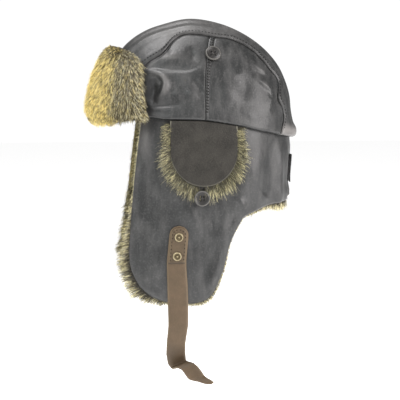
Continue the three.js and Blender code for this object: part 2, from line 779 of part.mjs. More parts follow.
// Elastic loop: two legs from the vent's lower edge, and a half round under the button
function ventLoop() {
  const seat = skirtAt(VENT_BUTTON.y, VENT_BUTTON.z);
  const x = seat.x + LOOP_SEAT + LOOP_CORD / 2;
  const top = VENT_END_Z - LOOP_SEAT - GAP;
  const path = [vec(x, seat.y - LOOP_RADIUS, top)];
  for (const degrees of [180, 210, 240, 270, 300, 330, 360]) {
    const turn = degToRad(degrees);
    path.push(
      vec(x, seat.y + LOOP_RADIUS * Math.cos(turn), seat.z + LOOP_RADIUS * Math.sin(turn)),
    );
  }
  path.push(vec(x, seat.y + LOOP_RADIUS, top));
  const cord = new THREE.Shape().absarc(0, 0, LOOP_CORD / 2, 0, 2 * Math.PI);
  const curve = new THREE.CatmullRomCurve3(path, false, "centripetal");
  const loop = new THREE.ExtrudeGeometry(cord, {
    steps: 14,
    curveSegments: 3,
    extrudePath: curve,
  });
  return fromSolid(toSolid(loop));
}

// Where the strap's outer face lies against the flap
const strapX = (y, z) => skirtAt(y, z).x + STRAP_SEAT + LEATHER;

// Chin strap: a ribbon whose edges swing and turn; with no place of its own it lies against the flap
function strapEdges(rows) {
  return rows.map(({ y, z, x, half, swing, turn }) => {
    const across = vec(
      -Math.sin(degToRad(turn)),
      Math.cos(degToRad(turn)) * Math.cos(degToRad(swing)),
      Math.cos(degToRad(turn)) * Math.sin(degToRad(swing)),
    );
    const middle = vec(x, y, z);
    if (!x) middle.x = strapX(y, z);
    return [middle.clone().addScaledVector(across, -half), middle.addScaledVector(across, half)];
  });
}

function ribbon(edges, count, thickness) {
  const sides = [0, 1].map(
    (side) => new THREE.CatmullRomCurve3(edges.map((pair) => pair[side]), false, "centripetal"),
  );
  const grid = steps(count).map((t) => {
    const [front, back] = sides.map((curve) => curve.getPoint(t));
    return [front, back];
  });
  return wall(grid, thickness);
}

// The rounded upper end of a strap, as rows that narrow towards the top
function roundedTop(first) {
  return [0.985, 0.8, 0.45].map((share) => ({
    ...first,
    z: first.z + first.half * share,
    half: first.half * Math.sqrt(1 - share * share),
  }));
}

function chinStrap(rows, count) {
  return ribbon(strapEdges([...roundedTop(rows[0]), ...rows]), count, LEATHER);
}

function plainStrapRows() {
  const kept = [...STRAP_FALL.filter(({ z }) => z > PATCH_END), ...RIGHT_STRAP_FALL];
  const last = kept[kept.length - 1];
  const end = [0, 0.7, 0.985].map((share) => ({
    ...last,
    turn: 0,
    z: RIGHT_STRAP_END - last.half * share,
    half: last.half * Math.sqrt(1 - share * share),
  }));
  return [...kept, ...end];
}

// The stitched second layer at the strap's upper end
function strapPatch() {
  const rows = STRAP_FALL.filter(({ z }) => z > PATCH_END).map((row) => ({
    ...row,
    half: row.half - PATCH_INSET,
  }));
  const top = { ...rows[0], z: rows[0].z - 0.5 };
  const edges = strapEdges([...roundedTop(top), ...rows.slice(1)]);
  edges.flat().forEach((point) => point.setX(point.x + GAP + PATCH_THICKNESS));
  return ribbon(edges, 10, PATCH_THICKNESS);
}

// A ring stud with a groove and a pin in its middle
function stud(z) {
  const strapY = reader(STRAP_FALL, "z", "y");
  const y = strapY(z);
  const profile = [
    [0, 0],
    [STUD_RADIUS, 0],
    [STUD_RADIUS, 1],
    [STUD_RADIUS - 1, 1.9],
    [STUD_RADIUS - 2.2, 1],
    [1.5, 0.8],
    [1.1, 1.7],
    [0, 1.9],
  ].map(([a, b]) => new THREE.Vector2(a, b));
  const geometry = new THREE.LatheGeometry(profile, 10).rotateX(Math.PI / 2);
  const seat = vec(strapX(y, z) + PATCH_THICKNESS + 2 * GAP, y, z);
  return fromSolid(toSolid(facing(geometry, seat, vec(1, 0, 0))));
}

// Tab behind the nape, standing off the leather by the gap
function napeTab() {
  const grid = [-1, 0, 1].map((side) =>
    steps(4).map((down) => {
      const z = lerp(TAB_TOP, TAB_BOTTOM, down);
      const start = hemPoint(0);
      const share = (start.z - z) / (start.z - skirtEdgeZ(0));
      const y = skirtPoint(0, share).y + 2 * GAP + TAB_DEPTH;
      return vec(side * TAB_HALF_WIDTH, y - 0.6 * side * side, z);
    }),
  );
  return wall(grid, TAB_DEPTH);
}

// Materials
const leather = new THREE.MeshStandardMaterial({ color: 0x555554, roughness: 0.45 });
const suede = new THREE.MeshStandardMaterial({ color: 0x53524e, roughness: 0.75 });
const fur = new THREE.MeshStandardMaterial({ color: 0x8f8760, roughness: 0.95 });
const strapLeather = new THREE.MeshStandardMaterial({ color: 0x7c6c54, roughness: 0.6 });
const horn = new THREE.MeshStandardMaterial({ color: 0x3a3936, roughness: 0.4 });
const elastic = new THREE.MeshStandardMaterial({ color: 0x1d1d1c, roughness: 0.8 });
const brass = new THREE.MeshStandardMaterial({ color: 0x8d7a52, roughness: 0.4, metalness: 1 });

// Assembly
const hat = new THREE.Group();

function add(name, geometry, material) {
  const mesh = new THREE.Mesh(geometry, material);
  mesh.name = name;
  hat.add(mesh);
}

function addPair(name, geometry, material) {
  add(name + "_left", geometry, material);
  add(name + "_right", mirrored(geometry), material);
}

const frontCorner = hemAngle(1, 28, 70);
const backCorner = hemAngle(1, 165, 120);

add("crown_strip", crownStrip(), leather);
addPair("crown_side_front", crownSide(frontCorner, frontCorner + 6, -GAP / 2), leather);
addPair("crown_side_back", crownSide(backCorner, backCorner - 5, GAP / 2), leather);
add("skirt_leather", skirtLeather(), leather);
add("skirt_fur", skirtFur(), fur);
add("visor_leather", visorLeather(), leather);
add("visor_fur", visorFur(), fur);
addPair("vent_leather", ventLeather(), suede);
addPair("vent_fur", ventFur(), fur);
addPair("vent_button", ventButton(), horn);
addPair("vent_loop", ventLoop(), elastic);
addPair("crown_button", crownButton(), horn);
add("chin_strap_left", chinStrap(STRAP_FALL, 44), strapLeather);
add("chin_strap_right", mirrored(chinStrap(plainStrapRows(), 20)), strapLeather);
addPair("strap_patch", strapPatch(), strapLeather);
addPair("strap_stud_upper", stud(STUD_HEIGHTS.upper), brass);
addPair("strap_stud_lower", stud(STUD_HEIGHTS.lower), brass);
add("nape_tab", napeTab(), leather);

export default hat;
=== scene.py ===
# %% [markdown]
# # A leather aviator hat with fur
#
# The hat is a lesson in two very different soft materials. Smooth dark leather wants few, well-placed
# folds on a clean surface, because its gloss shows every one of them. Long fur wants the opposite: a
# hundred thousand simple hairs whose colour, from dark root to pale tip, does all the work.
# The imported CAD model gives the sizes, and each piece made here stands in for one of its nodes.

# %% Load the frame
import json
import math

import bmesh
import bpy
import numpy as np
from mathutils import Matrix, Vector

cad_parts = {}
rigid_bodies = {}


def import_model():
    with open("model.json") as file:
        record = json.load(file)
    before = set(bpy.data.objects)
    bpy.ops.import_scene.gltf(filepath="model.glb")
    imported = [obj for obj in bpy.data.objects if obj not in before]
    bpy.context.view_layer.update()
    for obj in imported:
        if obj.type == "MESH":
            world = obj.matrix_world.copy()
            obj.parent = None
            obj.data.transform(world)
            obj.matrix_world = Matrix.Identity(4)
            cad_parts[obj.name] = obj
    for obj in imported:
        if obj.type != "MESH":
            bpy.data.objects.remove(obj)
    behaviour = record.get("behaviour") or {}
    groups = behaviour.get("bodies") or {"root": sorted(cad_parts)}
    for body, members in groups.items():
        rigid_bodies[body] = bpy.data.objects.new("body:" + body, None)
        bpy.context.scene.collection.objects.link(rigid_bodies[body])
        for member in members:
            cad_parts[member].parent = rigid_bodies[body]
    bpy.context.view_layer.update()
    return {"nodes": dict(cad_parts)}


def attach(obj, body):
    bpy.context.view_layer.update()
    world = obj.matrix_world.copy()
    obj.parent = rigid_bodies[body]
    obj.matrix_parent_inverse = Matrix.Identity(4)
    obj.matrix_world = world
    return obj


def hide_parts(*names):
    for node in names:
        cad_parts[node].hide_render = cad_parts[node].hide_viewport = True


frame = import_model()
nodes = frame["nodes"]
MM = 0.001
print("nodes:", len(nodes))

# %% [markdown]
# ## Tools for tables and nodes
#
# Colours are written as sRGB hex values, the way that a paint chart gives them, and turned linear for
# the shader. Shapes come from short tables: a reader draws a smooth line through one of their columns,
# which is how a pattern cutter sees a curve, as a few measured points and an easy line between them.


# %% Small helpers
def linear(hex_colour):
    """A shader's linear colour from an sRGB hex value."""
    parts = [int(hex_colour[i:i + 2], 16) / 255 for i in (1, 3, 5)]
    curved = [c / 12.92 if c <= 0.04045 else ((c + 0.055) / 1.055) ** 2.4 for c in parts]
    return (*curved, 1.0)


def add_node(tree, kind, settings=(), **inputs):
    """A node with its settings, and its inputs set or linked by the names or numbers of their sockets."""
    made = tree.nodes.new(kind)
    for key, value in dict(settings).items():
        setattr(made, key, value)
    for key, value in inputs.items():
        socket = made.inputs[int(key[1:]) if key[1:].isdigit() else key.replace("_", " ")]
        if isinstance(value, bpy.types.NodeSocket):
            tree.links.new(value, socket)
        else:
            socket.default_value = linear(value) if isinstance(value, str) else value
    return made


def table(columns, *rows):
    """A table as one array for each named column."""
    return dict(zip(columns.split(), np.array(rows, float).T))


def reader(rows, key, column):
    """A smooth line through one column of a table, read at places of another column."""
    order = np.argsort(rows[key])
    at, value = rows[key][order], rows[column][order]
    last = len(at) - 1
    before = np.maximum(np.arange(last + 1) - 1, 0)
    after = np.minimum(np.arange(last + 1) + 1, last)
    slope = (value[after] - value[before]) / (at[after] - at[before])

    def read(where):
        place = np.clip(where, at[0], at[last])
        i = np.clip(np.searchsorted(at, place) - 1, 0, last - 1)
        span = at[i + 1] - at[i]
        t = (place - at[i]) / span
        rise = t * t * (3 - 2 * t)
        bend = slope[i] * (1 - t) - slope[i + 1] * t
        return value[i] * (1 - rise) + value[i + 1] * rise + bend * span * t * (1 - t)

    return read


def chosen(rows, keep):
    """The rows of a table that a mask keeps."""
    return {key: value[keep] for key, value in rows.items()}


def lerp(a, b, t):
    """A value between two others."""
    return a + (b - a) * t


def smooth(low, high, value):
    """A soft step from nought at one value to one at another, which may also be the lower one."""
    t = np.clip((value - low) / (high - low), 0, 1)
    return t * t * (3 - 2 * t)


def unit(v):
    """Directions with a length of one."""
    return v / np.maximum(np.linalg.norm(v, axis=-1, keepdims=True), 1e-9)


def bell(distance, width):
    """One in the middle of a soft hump, and next to nought at twice its width."""
    return np.exp(-((distance / width) ** 2))


def run_along(line):
    """How far each place of a line is from its start."""
    return np.concatenate([[0], np.cumsum(np.linalg.norm(np.diff(line, axis=0), axis=1))])


def places_at(where, run, values):
    """Places between those of a line, read at distances along it."""
    return np.stack([np.interp(where, run, values[:, c]) for c in range(3)], -1)


def crossing(low, high, f):
    """Where f changes sign between two values, for whole arrays of values at once."""
    low, high = np.broadcast_arrays(np.asarray(low, float), np.asarray(high, float))
    low, high = low.copy(), high.copy()
    sign = np.sign(f(low))
    for _ in range(28):
        middle = (low + high) / 2
        same = np.sign(f(middle)) == sign
        low, high = np.where(same, middle, low), np.where(same, high, middle)
    return (low + high) / 2


# %% [markdown]
# ## Camera and light
#
# The camera stands at the wearer's left, a little to the front, at the photo's long distance. White
# light comes from all round, as in a light tent, and four wide soft boxes give the leather its long
# highlights. The floor is far enough below for the hanging strap.

# %% Camera
CAMERA_TURN, CAMERA_RISE, CAMERA_DISTANCE = math.radians(85), math.radians(6), 1.9
CAMERA_AIM = Vector((0, -0.00125, -0.095))
FRAME_WIDTH, CLIP_START = 0.5, 0.05

scene = bpy.context.scene


def put(name, data):
    """A new object in the scene."""
    made = bpy.data.objects.new(name, data)
    scene.collection.objects.link(made)
    return made


camera = put("camera", bpy.data.cameras.new("camera"))
scene.camera = camera
away = Vector((math.sin(CAMERA_TURN) * math.cos(CAMERA_RISE),
               -math.cos(CAMERA_TURN) * math.cos(CAMERA_RISE),
               math.sin(CAMERA_RISE)))
camera.location = CAMERA_AIM + away * CAMERA_DISTANCE
camera.rotation_euler = (-away).to_track_quat("-Z", "Y").to_euler()
camera.data.lens = camera.data.sensor_width * CAMERA_DISTANCE / FRAME_WIDTH
camera.data.clip_start = CLIP_START
print("camera lens:", round(camera.data.lens, 1), "mm")

# %% Light
TENT_LIGHT, TENT_SEEN = 0.34, 1.05

scene.view_settings.view_transform = "Standard"
world = bpy.data.worlds.new("light tent")
scene.world = world
world.use_nodes = True
tent = world.node_tree
tent.nodes.clear()
seen = add_node(tent, "ShaderNodeLightPath").outputs["Is Camera Ray"]
strength = add_node(tent, "ShaderNodeMapRange", To_Min=TENT_LIGHT, To_Max=TENT_SEEN, Value=seen).outputs[0]
sky = add_node(tent, "ShaderNodeBackground", Color=(1, 1, 1, 1), Strength=strength)
add_node(tent, "ShaderNodeOutputWorld", Surface=sky.outputs[0])

# Each soft box: its place, the height that it looks at, its size, its watts and its colour
soft_boxes = {
    "key": ((0.75, -1.75, 0.9), -0.05, 1.1, 19.5, (1.0, 0.99, 0.96)),
    "front": ((1.6, -0.7, 1.0), -0.05, 0.7, 7.5, (0.97, 1.0, 1.0)),
    "rear": ((1.25, 1.55, 0.5), -0.05, 1.4, 46, (1.0, 0.96, 0.95)),
    "top": ((0.1, -0.45, 1.8), 0, 1.1, 37, (1.0, 0.98, 0.98)),
}
for name, (place, aim, size, watts, colour) in soft_boxes.items():
    lamp = bpy.data.lights.new(name, "AREA")
    lamp.size, lamp.energy, lamp.color = size, watts, colour
    box = put(name, lamp)
    box.location = place
    box.rotation_euler = (Vector((0, 0, aim)) - Vector(place)).to_track_quat("-Z", "Y").to_euler()
print("lights:", list(soft_boxes))

# %% Floor
FLOOR_SIZE, FLOOR_HEIGHT = 6, -0.42


def object_from(name, made):
    """An object from a bmesh, which is then freed."""
    mesh = bpy.data.meshes.new(name)
    made.to_mesh(mesh)
    made.free()
    return put(name, mesh)


floor_mesh = bmesh.new()
bmesh.ops.create_grid(floor_mesh, x_segments=1, y_segments=1, size=FLOOR_SIZE)
bmesh.ops.translate(floor_mesh, verts=floor_mesh.verts, vec=(0, 0, FLOOR_HEIGHT))
floor = object_from("floor", floor_mesh)

# White painted board: it glows a little, so that the eye finds no line where it ends
board = bpy.data.materials.new("painted_plywood_white")
board.use_nodes = True
paint = {"Base Color": linear("#fbfbfb"), "Roughness": 0.9,
         "Emission Color": (1, 1, 1, 1), "Emission Strength": 0.62}
for name, value in paint.items():
    board.node_tree.nodes["Principled BSDF"].inputs[name].default_value = value
floor.data.materials.append(board)
print("floor at", FLOOR_HEIGHT, "m")

# %% [markdown]
# ## The crown's surface
#
# A crown panel is a flat piece of leather that takes a double curve when it is sewn to its neighbours.
# Rather than stretch one, the script uses a rounded shell that all five panels share: a profile over
# the middle of the head, which shrinks towards the ears. A panel is then a region of that shell.

# %% The shell and its panels' lines
HUB_HEIGHT, CROWN_REACH, CROWN_FULLNESS = -60, 92.5, 2.2
LEATHER, HEM_ROLL, HEM_TUCK, SEAM_ANGLE, SEAM_LOW_ANGLE = 2, 4, 7.5, 92.5, 88.9

crown_profile = table(
    "y z seam",
    (-110, -12, 58), (-111, 14, 58), (-112, 40, 58), (-108, 70, 58), (-99, 93, 58), (-85, 107, 58),
    (-66, 118.5, 57), (-46, 125.5, 53), (-16, 132, 47), (22, 126.5, 45), (45, 117.5, 42),
    (69, 102.5, 42), (85, 87.5, 44), (96, 72.5, 46), (103, 57.5, 47), (109, 38, 49), (111, 20, 52),
    (114, 5, 56), (118.5, -5, 59), (117.5, -14, 60), (112, -26, 60),
)
crown_profile["angle"] = np.degrees(np.arctan2(crown_profile["z"] - HUB_HEIGHT, -crown_profile["y"]))
crown_profile["radius"] = np.hypot(crown_profile["y"], crown_profile["z"] - HUB_HEIGHT)
hem_line = table("y z", (-112, 12), (-71, 11.5), (-52, 9.5), (-3, 8.5), (40, 1.5), (65, -5),
                 (92, -10.5), (116, -15))
profile_radius = reader(crown_profile, "angle", "radius")
seam_run = reader(crown_profile, "angle", "seam")
seam_wobble = table("angle x", (0, 0), (64, 0), (72, 0.6), (79, -4), (86, -0.6), (92, 1.2), (99, 0), (121, 0),
                    (128.5, -3.5), (134, 6), (143, -3), (151, 2), (160, 0), (190, 0))
seam_shift = reader(seam_wobble, "angle", "x")
hem_at = reader(hem_line, "y", "z")


def seam_at(angle):
    """How far the strip's seam is from the middle. At the back the thread has pulled it into waves."""
    return seam_run(angle) + seam_shift(angle)


def crown_angle(p):
    """A place's angle round the hub, in degrees from the brow over the top."""
    return np.degrees(np.arctan2(p[..., 2] - HUB_HEIGHT, -p[..., 1]))


def crown_point(angle, x):
    """The shell's point at an angle round the hub, so far out from the middle."""
    share = np.minimum(np.abs(x) / CROWN_REACH, 0.9999)
    radius = (1 - share ** CROWN_FULLNESS) ** (1 / CROWN_FULLNESS) * profile_radius(angle)
    turn = np.radians(angle)
    return np.stack([x + 0 * radius, -radius * np.cos(turn), HUB_HEIGHT + radius * np.sin(turn)], -1)


def crown_level(p):
    """Nought on the shell, less inside it and more outside."""
    share = np.hypot(p[..., 1], p[..., 2] - HUB_HEIGHT) / profile_radius(crown_angle(p))
    return share ** CROWN_FULLNESS + (np.abs(p[..., 0]) / CROWN_REACH) ** CROWN_FULLNESS - 1


def crown_normal(p):
    """The shell's outward direction, from how its level changes over a millimetre."""
    steps = np.eye(3) * 0.5
    return unit(np.stack([crown_level(p + s) - crown_level(p - s) for s in steps], -1))


def crown_around(turn, z):
    """The shell's point at a height, in a direction given in degrees from the middle of the back."""
    turn, z = np.broadcast_arrays(np.asarray(turn, float), np.asarray(z, float))
    across, back = np.sin(np.radians(turn)), np.cos(np.radians(turn))
    reach = crossing(20 + 0 * turn, 140 + 0 * turn,
                     lambda r: crown_level(np.stack([r * across, r * back, z], -1)))
    return np.stack([reach * across, reach * back, z], -1)


def above_hem(p):
    """How far a place is above the start of the hem's roll."""
    return p[..., 2] - hem_at(p[..., 1]) - HEM_ROLL


def hem_angle(share, start, end):
    """Where a line at a share of the strip's width meets the hem."""
    return crossing(start + 0 * share, end + 0 * share,
                    lambda a: above_hem(crown_point(a, share * seam_at(a))))


def hem_reach(angle):
    """How far out the shell meets the hem, at an angle round the hub."""
    return crossing(seam_at(angle) - 1, CROWN_REACH - 0.5 + 0 * angle,
                    lambda x: above_hem(crown_point(angle, x)))


print("crown top:", crown_point(np.array(90.0), np.array(0.0)).round(1))

# %% [markdown]
# ## Leather panels from a grid
#
# A panel is easiest as a square grid of faces: Blender makes the grid, and every corner of it is then
# carried to its place on the shell. The cut edge gets its thickness from a Solidify modifier, which
# keeps the outer face where it is. Each panel carries its own folds, and it dips where it meets its
# neighbour, because a seam pulls the leather down to the thread.


# %% A panel from a grid of places
def finish_piece(made, material, node=None):
    """Smooth shading, a material, and its place in the assembly."""
    made.data.materials.clear()
    made.data.materials.append(material)
    made.data.polygons.foreach_set("use_smooth", np.ones(len(made.data.polygons), bool))
    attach(made, "root")
    if node:
        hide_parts(node)
    return made


def mark(made, name, amount):
    """Writes one number for each corner of a mesh, such as its wear and painted highlight, or its painted
    shade.
    """
    layer = made.data.attributes.new(name, "FLOAT", "POINT")
    layer.data.foreach_set("value", np.asarray(amount, np.float32).ravel())


def panel(name, places, thickness=LEATHER, centre=(0, 0, 0), **marks):
    """A sheet whose outer face goes through a grid of places in millimetres, with marks on its corners."""
    rows, columns = places.shape[0] - 1, places.shape[1] - 1
    grid = bmesh.new()
    bmesh.ops.create_grid(grid, x_segments=rows, y_segments=columns, size=0.5)
    spots = np.array([v.co for v in grid.verts]) + 0.5
    order = np.rint(spots[:, 0] * rows).astype(int), np.rint(spots[:, 1] * columns).astype(int)
    for vertex, place in zip(grid.verts, places[order] * MM):
        vertex.co = place
    grid.faces.ensure_lookup_table()
    grid.normal_update()
    middle = Vector(places[rows // 2, columns // 2] * MM)
    face = min(grid.faces, key=lambda f: (f.calc_center_median() - middle).length)
    if face.normal.dot(middle - Vector(centre) * MM) < 0:
        bmesh.ops.reverse_faces(grid, faces=grid.faces)
    made = object_from(name, grid)
    for key, amount in marks.items():
        mark(made, key, amount[order])
    solid = made.modifiers.new("leather thickness", "SOLIDIFY")
    solid.thickness, solid.offset = thickness * MM, -1
    return made


# %% Folds from a table
def fold_lines(folds, samples=30):
    """Smooth lines through the rows of each fold: places, directions, heights and the two widths."""
    lines = []
    for number in np.unique(folds["fold"]):
        rows = chosen(folds, folds["fold"] == number)
        rows["run"] = run_along(np.stack([rows["y"], rows["z"]], -1))
        at = np.linspace(0, rows["run"][-1], samples)
        line = np.stack([reader(rows, "run", c)(at) for c in ("y", "z", "high", "left", "right")])
        lines.append((line, np.gradient(line[0]), np.gradient(line[1])))
    return lines


def fold_height(p, lines):
    """Height of folds seen from the side. Each falls off at its own rate on its left and its right."""
    height = np.zeros(p.shape[:-1])
    for (y, z, high, left, right), ahead_y, ahead_z in lines:
        to_y, to_z = p[..., 1, None] - y, p[..., 2, None] - z
        distance = np.hypot(to_y, to_z)
        nearest = np.argmin(distance, -1)
        side = ahead_y * to_z - ahead_z * to_y
        side = np.take_along_axis(side, nearest[..., None], -1)[..., 0]
        distance = np.take_along_axis(distance, nearest[..., None], -1)[..., 0]
        wide = np.where(side > 0, left[nearest], right[nearest])
        height = height + high[nearest] * bell(distance, wide)
    return height


# %% Folds and seams of the crown
crown_folds = fold_lines(table(
    "fold y z high left right",
    (1, -75, 73, -0.4, 5, 3), (1, -59, 71.4, -1.3, 7, 3), (1, -33, 69, -1.8, 8, 3),
    (1, -20, 69.6, -1.6, 7, 3), (1, -10, 73.8, -1, 6, 3), (1, -2, 81, 0, 4, 4),
    (2, -74, 68, 0, 4, 5), (2, -58, 65.6, 0.6, 4, 6), (2, -36, 63.6, 0.5, 4, 6), (2, -10, 67, 0, 4, 5),
    (3, -71, 66.3, 0.6, 4, 3), (3, -62, 65.4, 2, 4, 3), (3, -55.4, 62.5, 3, 5, 3),
    (3, -50.1, 56.6, 4.4, 6, 3.4), (3, -49.8, 49.9, 4.6, 7, 3.4), (3, -51.5, 44.5, 3.8, 7, 3.4),
    (3, -55.6, 38, 2, 6, 3), (3, -59, 29.6, 0, 4, 3),
    (4, -64, 58, 0, 5, 5), (4, -63, 48, -4.5, 6, 7), (4, -65, 36, -4, 6, 7), (4, -64, 26, 0, 5, 5),
    (5, -66, 24, 0, 3, 2), (5, -56, 25.9, -2.2, 4, 2), (5, -44, 26.6, -1.8, 4, 2), (5, -30, 26.6, 0, 3, 2),
    (6, -73, 16, 0.8, 3, 3), (6, -61, 13, 2.2, 3.5, 3), (6, -50, 11.3, 1, 3, 3), (6, -40, 10.6, 0, 3, 3),
    (7, -16, 58, 0, 2.6, 5), (7, -11, 50, -2, 2.6, 6), (7, -6, 43, -2.2, 2.6, 6), (7, -1, 35, 0, 2.6, 5),
    (8, -24, 52, 0, 6, 6), (8, -18, 42, 1.8, 6, 7), (8, -10, 31, 0, 6, 6),
    (9, -64, 78, 0, 9, 7), (9, -50, 83, 2.8, 10, 7), (9, -36, 84, 3, 10, 7), (9, -20, 82, 0, 9, 7),
    (10, -18, 97, 0, 5, 5), (10, -15, 86, -2.4, 5, 6), (10, -9, 77, 0, 5, 5),
    (11, 50, 82, 0, 7, 2.6), (11, 61, 72, 2.2, 7, 2.6), (11, 69, 66.5, 2.2, 6, 2.6), (11, 77, 63, 0, 5, 3),
    (12, 57, 63, 0, 7, 3), (12, 68, 52.4, 2.4, 8, 2.6), (12, 75.3, 46.4, 2.4, 7, 2.6),
    (12, 84, 39, 0, 5, 3), (13, 83, 40, 0, 4, 7), (13, 79, 30, 1.6, 4, 8), (13, 76, 21, 1.4, 4, 8),
    (13, 78, 10, 0, 3, 5), (14, 20, 62, 0, 9, 9), (14, 27, 41, 2, 11, 10), (14, 31, 22, 0, 9, 9),
    (15, 40, 64, 0, 8, 8), (15, 47, 46, -2, 8, 9), (15, 50, 30, 0, 8, 8), (16, 40, 24, 0, 6, 5),
    (16, 53, 15, 1.3, 8, 6), (16, 68, 10, 0, 6, 5), (17, -40, 50, 0, 8, 8), (17, -36, 40, 1.6, 9, 9),
    (17, -34, 32, 0, 8, 8), (18, 12, 84, 0, 7, 7), (18, 30, 80, -1.6, 7, 8), (18, 46, 70, 0, 7, 7),
))
strip_ridges = table("x wide high", (0, 15, -2.2), (21, 6.5, 0.7), (28.5, 4.5, -1.3),
                     (35.5, 4, 1.1), (40.5, 3, -0.6))
print("crown folds:", len(crown_folds))

# %% Relief of the seams and of the strip
SEAM_DIP, SEAM_WIDTH = 1.7, 1.8
LAP_WIDTH, LAP_HEIGHT, LAP_HOLLOW = 5.2, 0.65, 0.7
FOLD_CLEAR = 9
PUCKER_RADIUS, PUCKER_REACH = 165, 7
SIDE_SHARE = 0.8


def seam_pucker(angle, beside):
    """Small gathers that a tight thread leaves on both sides of a seam, strongest at the back."""
    run = np.radians(angle) * PUCKER_RADIUS
    waves = np.sin(run / 3.4 + 2 * np.sin(run / 17)) + 0.6 * np.sin(run / 6.1)
    strong = lerp(0.2, 0.45, smooth(105, 130, angle))
    return strong * waves * smooth(0, 1.5, beside) * bell(beside, PUCKER_REACH)


def behind_seam(angle, seam_angle):
    """How far behind the vertical seam a place of the crown's side is."""
    return np.radians(angle - seam_angle) * profile_radius(angle) * SIDE_SHARE


def side_relief(p, seam_angle=SEAM_ANGLE):
    """Relief of a side panel. The vertical seam is at seam_angle, with a stitched lap behind it."""
    angle = crown_angle(p)
    beside = np.abs(p[..., 0]) - seam_at(angle)
    behind = behind_seam(angle, seam_angle)
    height = fold_height(p, crown_folds) * smooth(0, FOLD_CLEAR, beside)
    height += seam_pucker(angle, np.abs(beside)) - SEAM_DIP * bell(beside, SEAM_WIDTH)
    height -= 1.5 * bell(behind, 1.5) * (behind < 0)
    lap = smooth(-0.2, 0.6, behind) * (1 - smooth(LAP_WIDTH - 1, LAP_WIDTH, behind))
    return height + LAP_HEIGHT * lap - LAP_HOLLOW * bell(behind - LAP_WIDTH, 0.9)


def strip_relief(p):
    """Relief of the strip: ridges that run lengthwise and wander a little, and a raised edge."""
    angle = crown_angle(p)
    x = np.abs(p[..., 0])
    beside = seam_at(angle) - x
    wander = 2.4 * np.sin(np.radians(angle) * 4 + 0.6)
    ends = smooth(28, 50, angle) * (1 - smooth(135, 165, angle))
    height = 0
    for place, wide, high in zip(strip_ridges["x"], strip_ridges["wide"], strip_ridges["high"]):
        height = height + high * bell(x - place - wander, wide) * ends
    edge = 0.7 * bell(beside - 3.4, 1.6)
    return (height * smooth(1, 5, beside) + edge + 0.6 * seam_pucker(angle, beside)
            - SEAM_DIP * bell(beside, SEAM_WIDTH))


# %% Hems that turn under
HEM_TURNS = np.radians([12, 25, 38, 51, 64, 77, 90])


def level_normal(p):
    """The shell's outward direction without its rise."""
    return unit(crown_normal(p) * [1, 1, 0])


def turned_under(lines):
    """Lines of places whose ends turn under: a quarter round, then flat towards the inside."""
    end = lines[:, -1]
    normal = level_normal(end)
    down = unit(end - lines[:, -2])
    roll = [end + down * HEM_ROLL * math.sin(t) - normal * HEM_ROLL * (1 - math.cos(t)) for t in HEM_TURNS]
    tuck = roll[-1] + normal * (HEM_ROLL - HEM_TUCK)
    return np.concatenate([lines, np.stack([*roll, tuck], 1)], 1)


def raised(p, height):
    """Places lifted off the shell."""
    return p + crown_normal(p) * height[..., None]


# %% Places of the strip and of a side panel
FRONT_HEM, BACK_HEM = (28, 70), (165, 120)
STRIP_GAP = 0.25


def strip_places(across, lengthwise):
    """A grid over the strip, from side to side and from the brow to the nape."""
    share = np.linspace(-1, 1, across + 1)
    front, back = hem_angle(share, *FRONT_HEM), hem_angle(share, *BACK_HEM)
    angle = lerp(front[:, None], back[:, None], np.linspace(0, 1, lengthwise + 1))
    p = crown_point(angle, share[:, None] * (seam_at(angle) - STRIP_GAP))
    lines = turned_under(raised(p, strip_relief(p)))
    return turned_under(lines[:, ::-1])


def side_places(corner, seam_start, shift, columns, rows):
    """A grid over a side panel, from its corner at the hem to the vertical seam and from top to hem."""
    step = 1 - (1 - np.linspace(0, 1, columns + 1)[:, None]) ** 1.3
    top = lerp(seam_start, SEAM_ANGLE, step)
    low = lerp(corner, SEAM_LOW_ANGLE, step)
    t = np.linspace(0, 1, rows + 1)
    p = crown_point(lerp(top, low, t), lerp(seam_at(top), hem_reach(low), t))
    lines = turned_under(raised(p, side_relief(p, lerp(SEAM_ANGLE, SEAM_LOW_ANGLE, t))))
    lines[..., 1] += shift * step ** 8
    return lines


def seam_shade(places, seam_angle=SEAM_ANGLE):
    """Painted shade in the seams and in the lap's grooves, and a painted shadow beside the visor: one in the
    seam itself.
    """
    angle = crown_angle(places)
    beside = np.abs(np.abs(places[..., 0]) - seam_at(angle))
    behind = behind_seam(angle, seam_angle)
    lap = 0.9 * bell(behind + 0.4, 0.9) + 0.6 * bell(behind - LAP_WIDTH, 0.8)
    on_side = np.abs(places[..., 0]) > seam_at(angle) - 0.1
    y, z = places[..., 1], places[..., 2]
    visor_painted_shadow = 0.6 * bell(y + 66, 8) * smooth(8, 22, z) * (1 - smooth(54, 66, z))
    return np.clip(bell(beside, 1.3) + (lap + visor_painted_shadow) * on_side, 0, 1)


# %% Grids of the side panels
PANEL_GAP, PANEL_COLUMNS, PANEL_ROWS = 0.15, 90, 66
FRONT_SEAM_RISE, BACK_SEAM_RISE = 6, 5
MIRROR = np.array([-1, 1, 1])
SIDES = (("left", np.ones(3)), ("right", MIRROR))
front_corner, back_corner = hem_angle(np.array(1.0), *FRONT_HEM), hem_angle(np.array(1.0), *BACK_HEM)
front_side = side_places(front_corner, front_corner + FRONT_SEAM_RISE, -PANEL_GAP, PANEL_COLUMNS, PANEL_ROWS)
back_side = side_places(back_corner, back_corner - BACK_SEAM_RISE, PANEL_GAP, PANEL_COLUMNS, PANEL_ROWS)
print("side panels:", front_side.shape, back_side.shape)

# %% [markdown]
# ## The flaps and the nape
#
# Both ear flaps and the nape are cut as one piece, sewn up inside the crown's hem. Its lines fall from
# the hem to the lower edge, and the edge is a table too. The leather is turned in at the edge, so the
# last millimetres roll inwards instead of ending sharp.

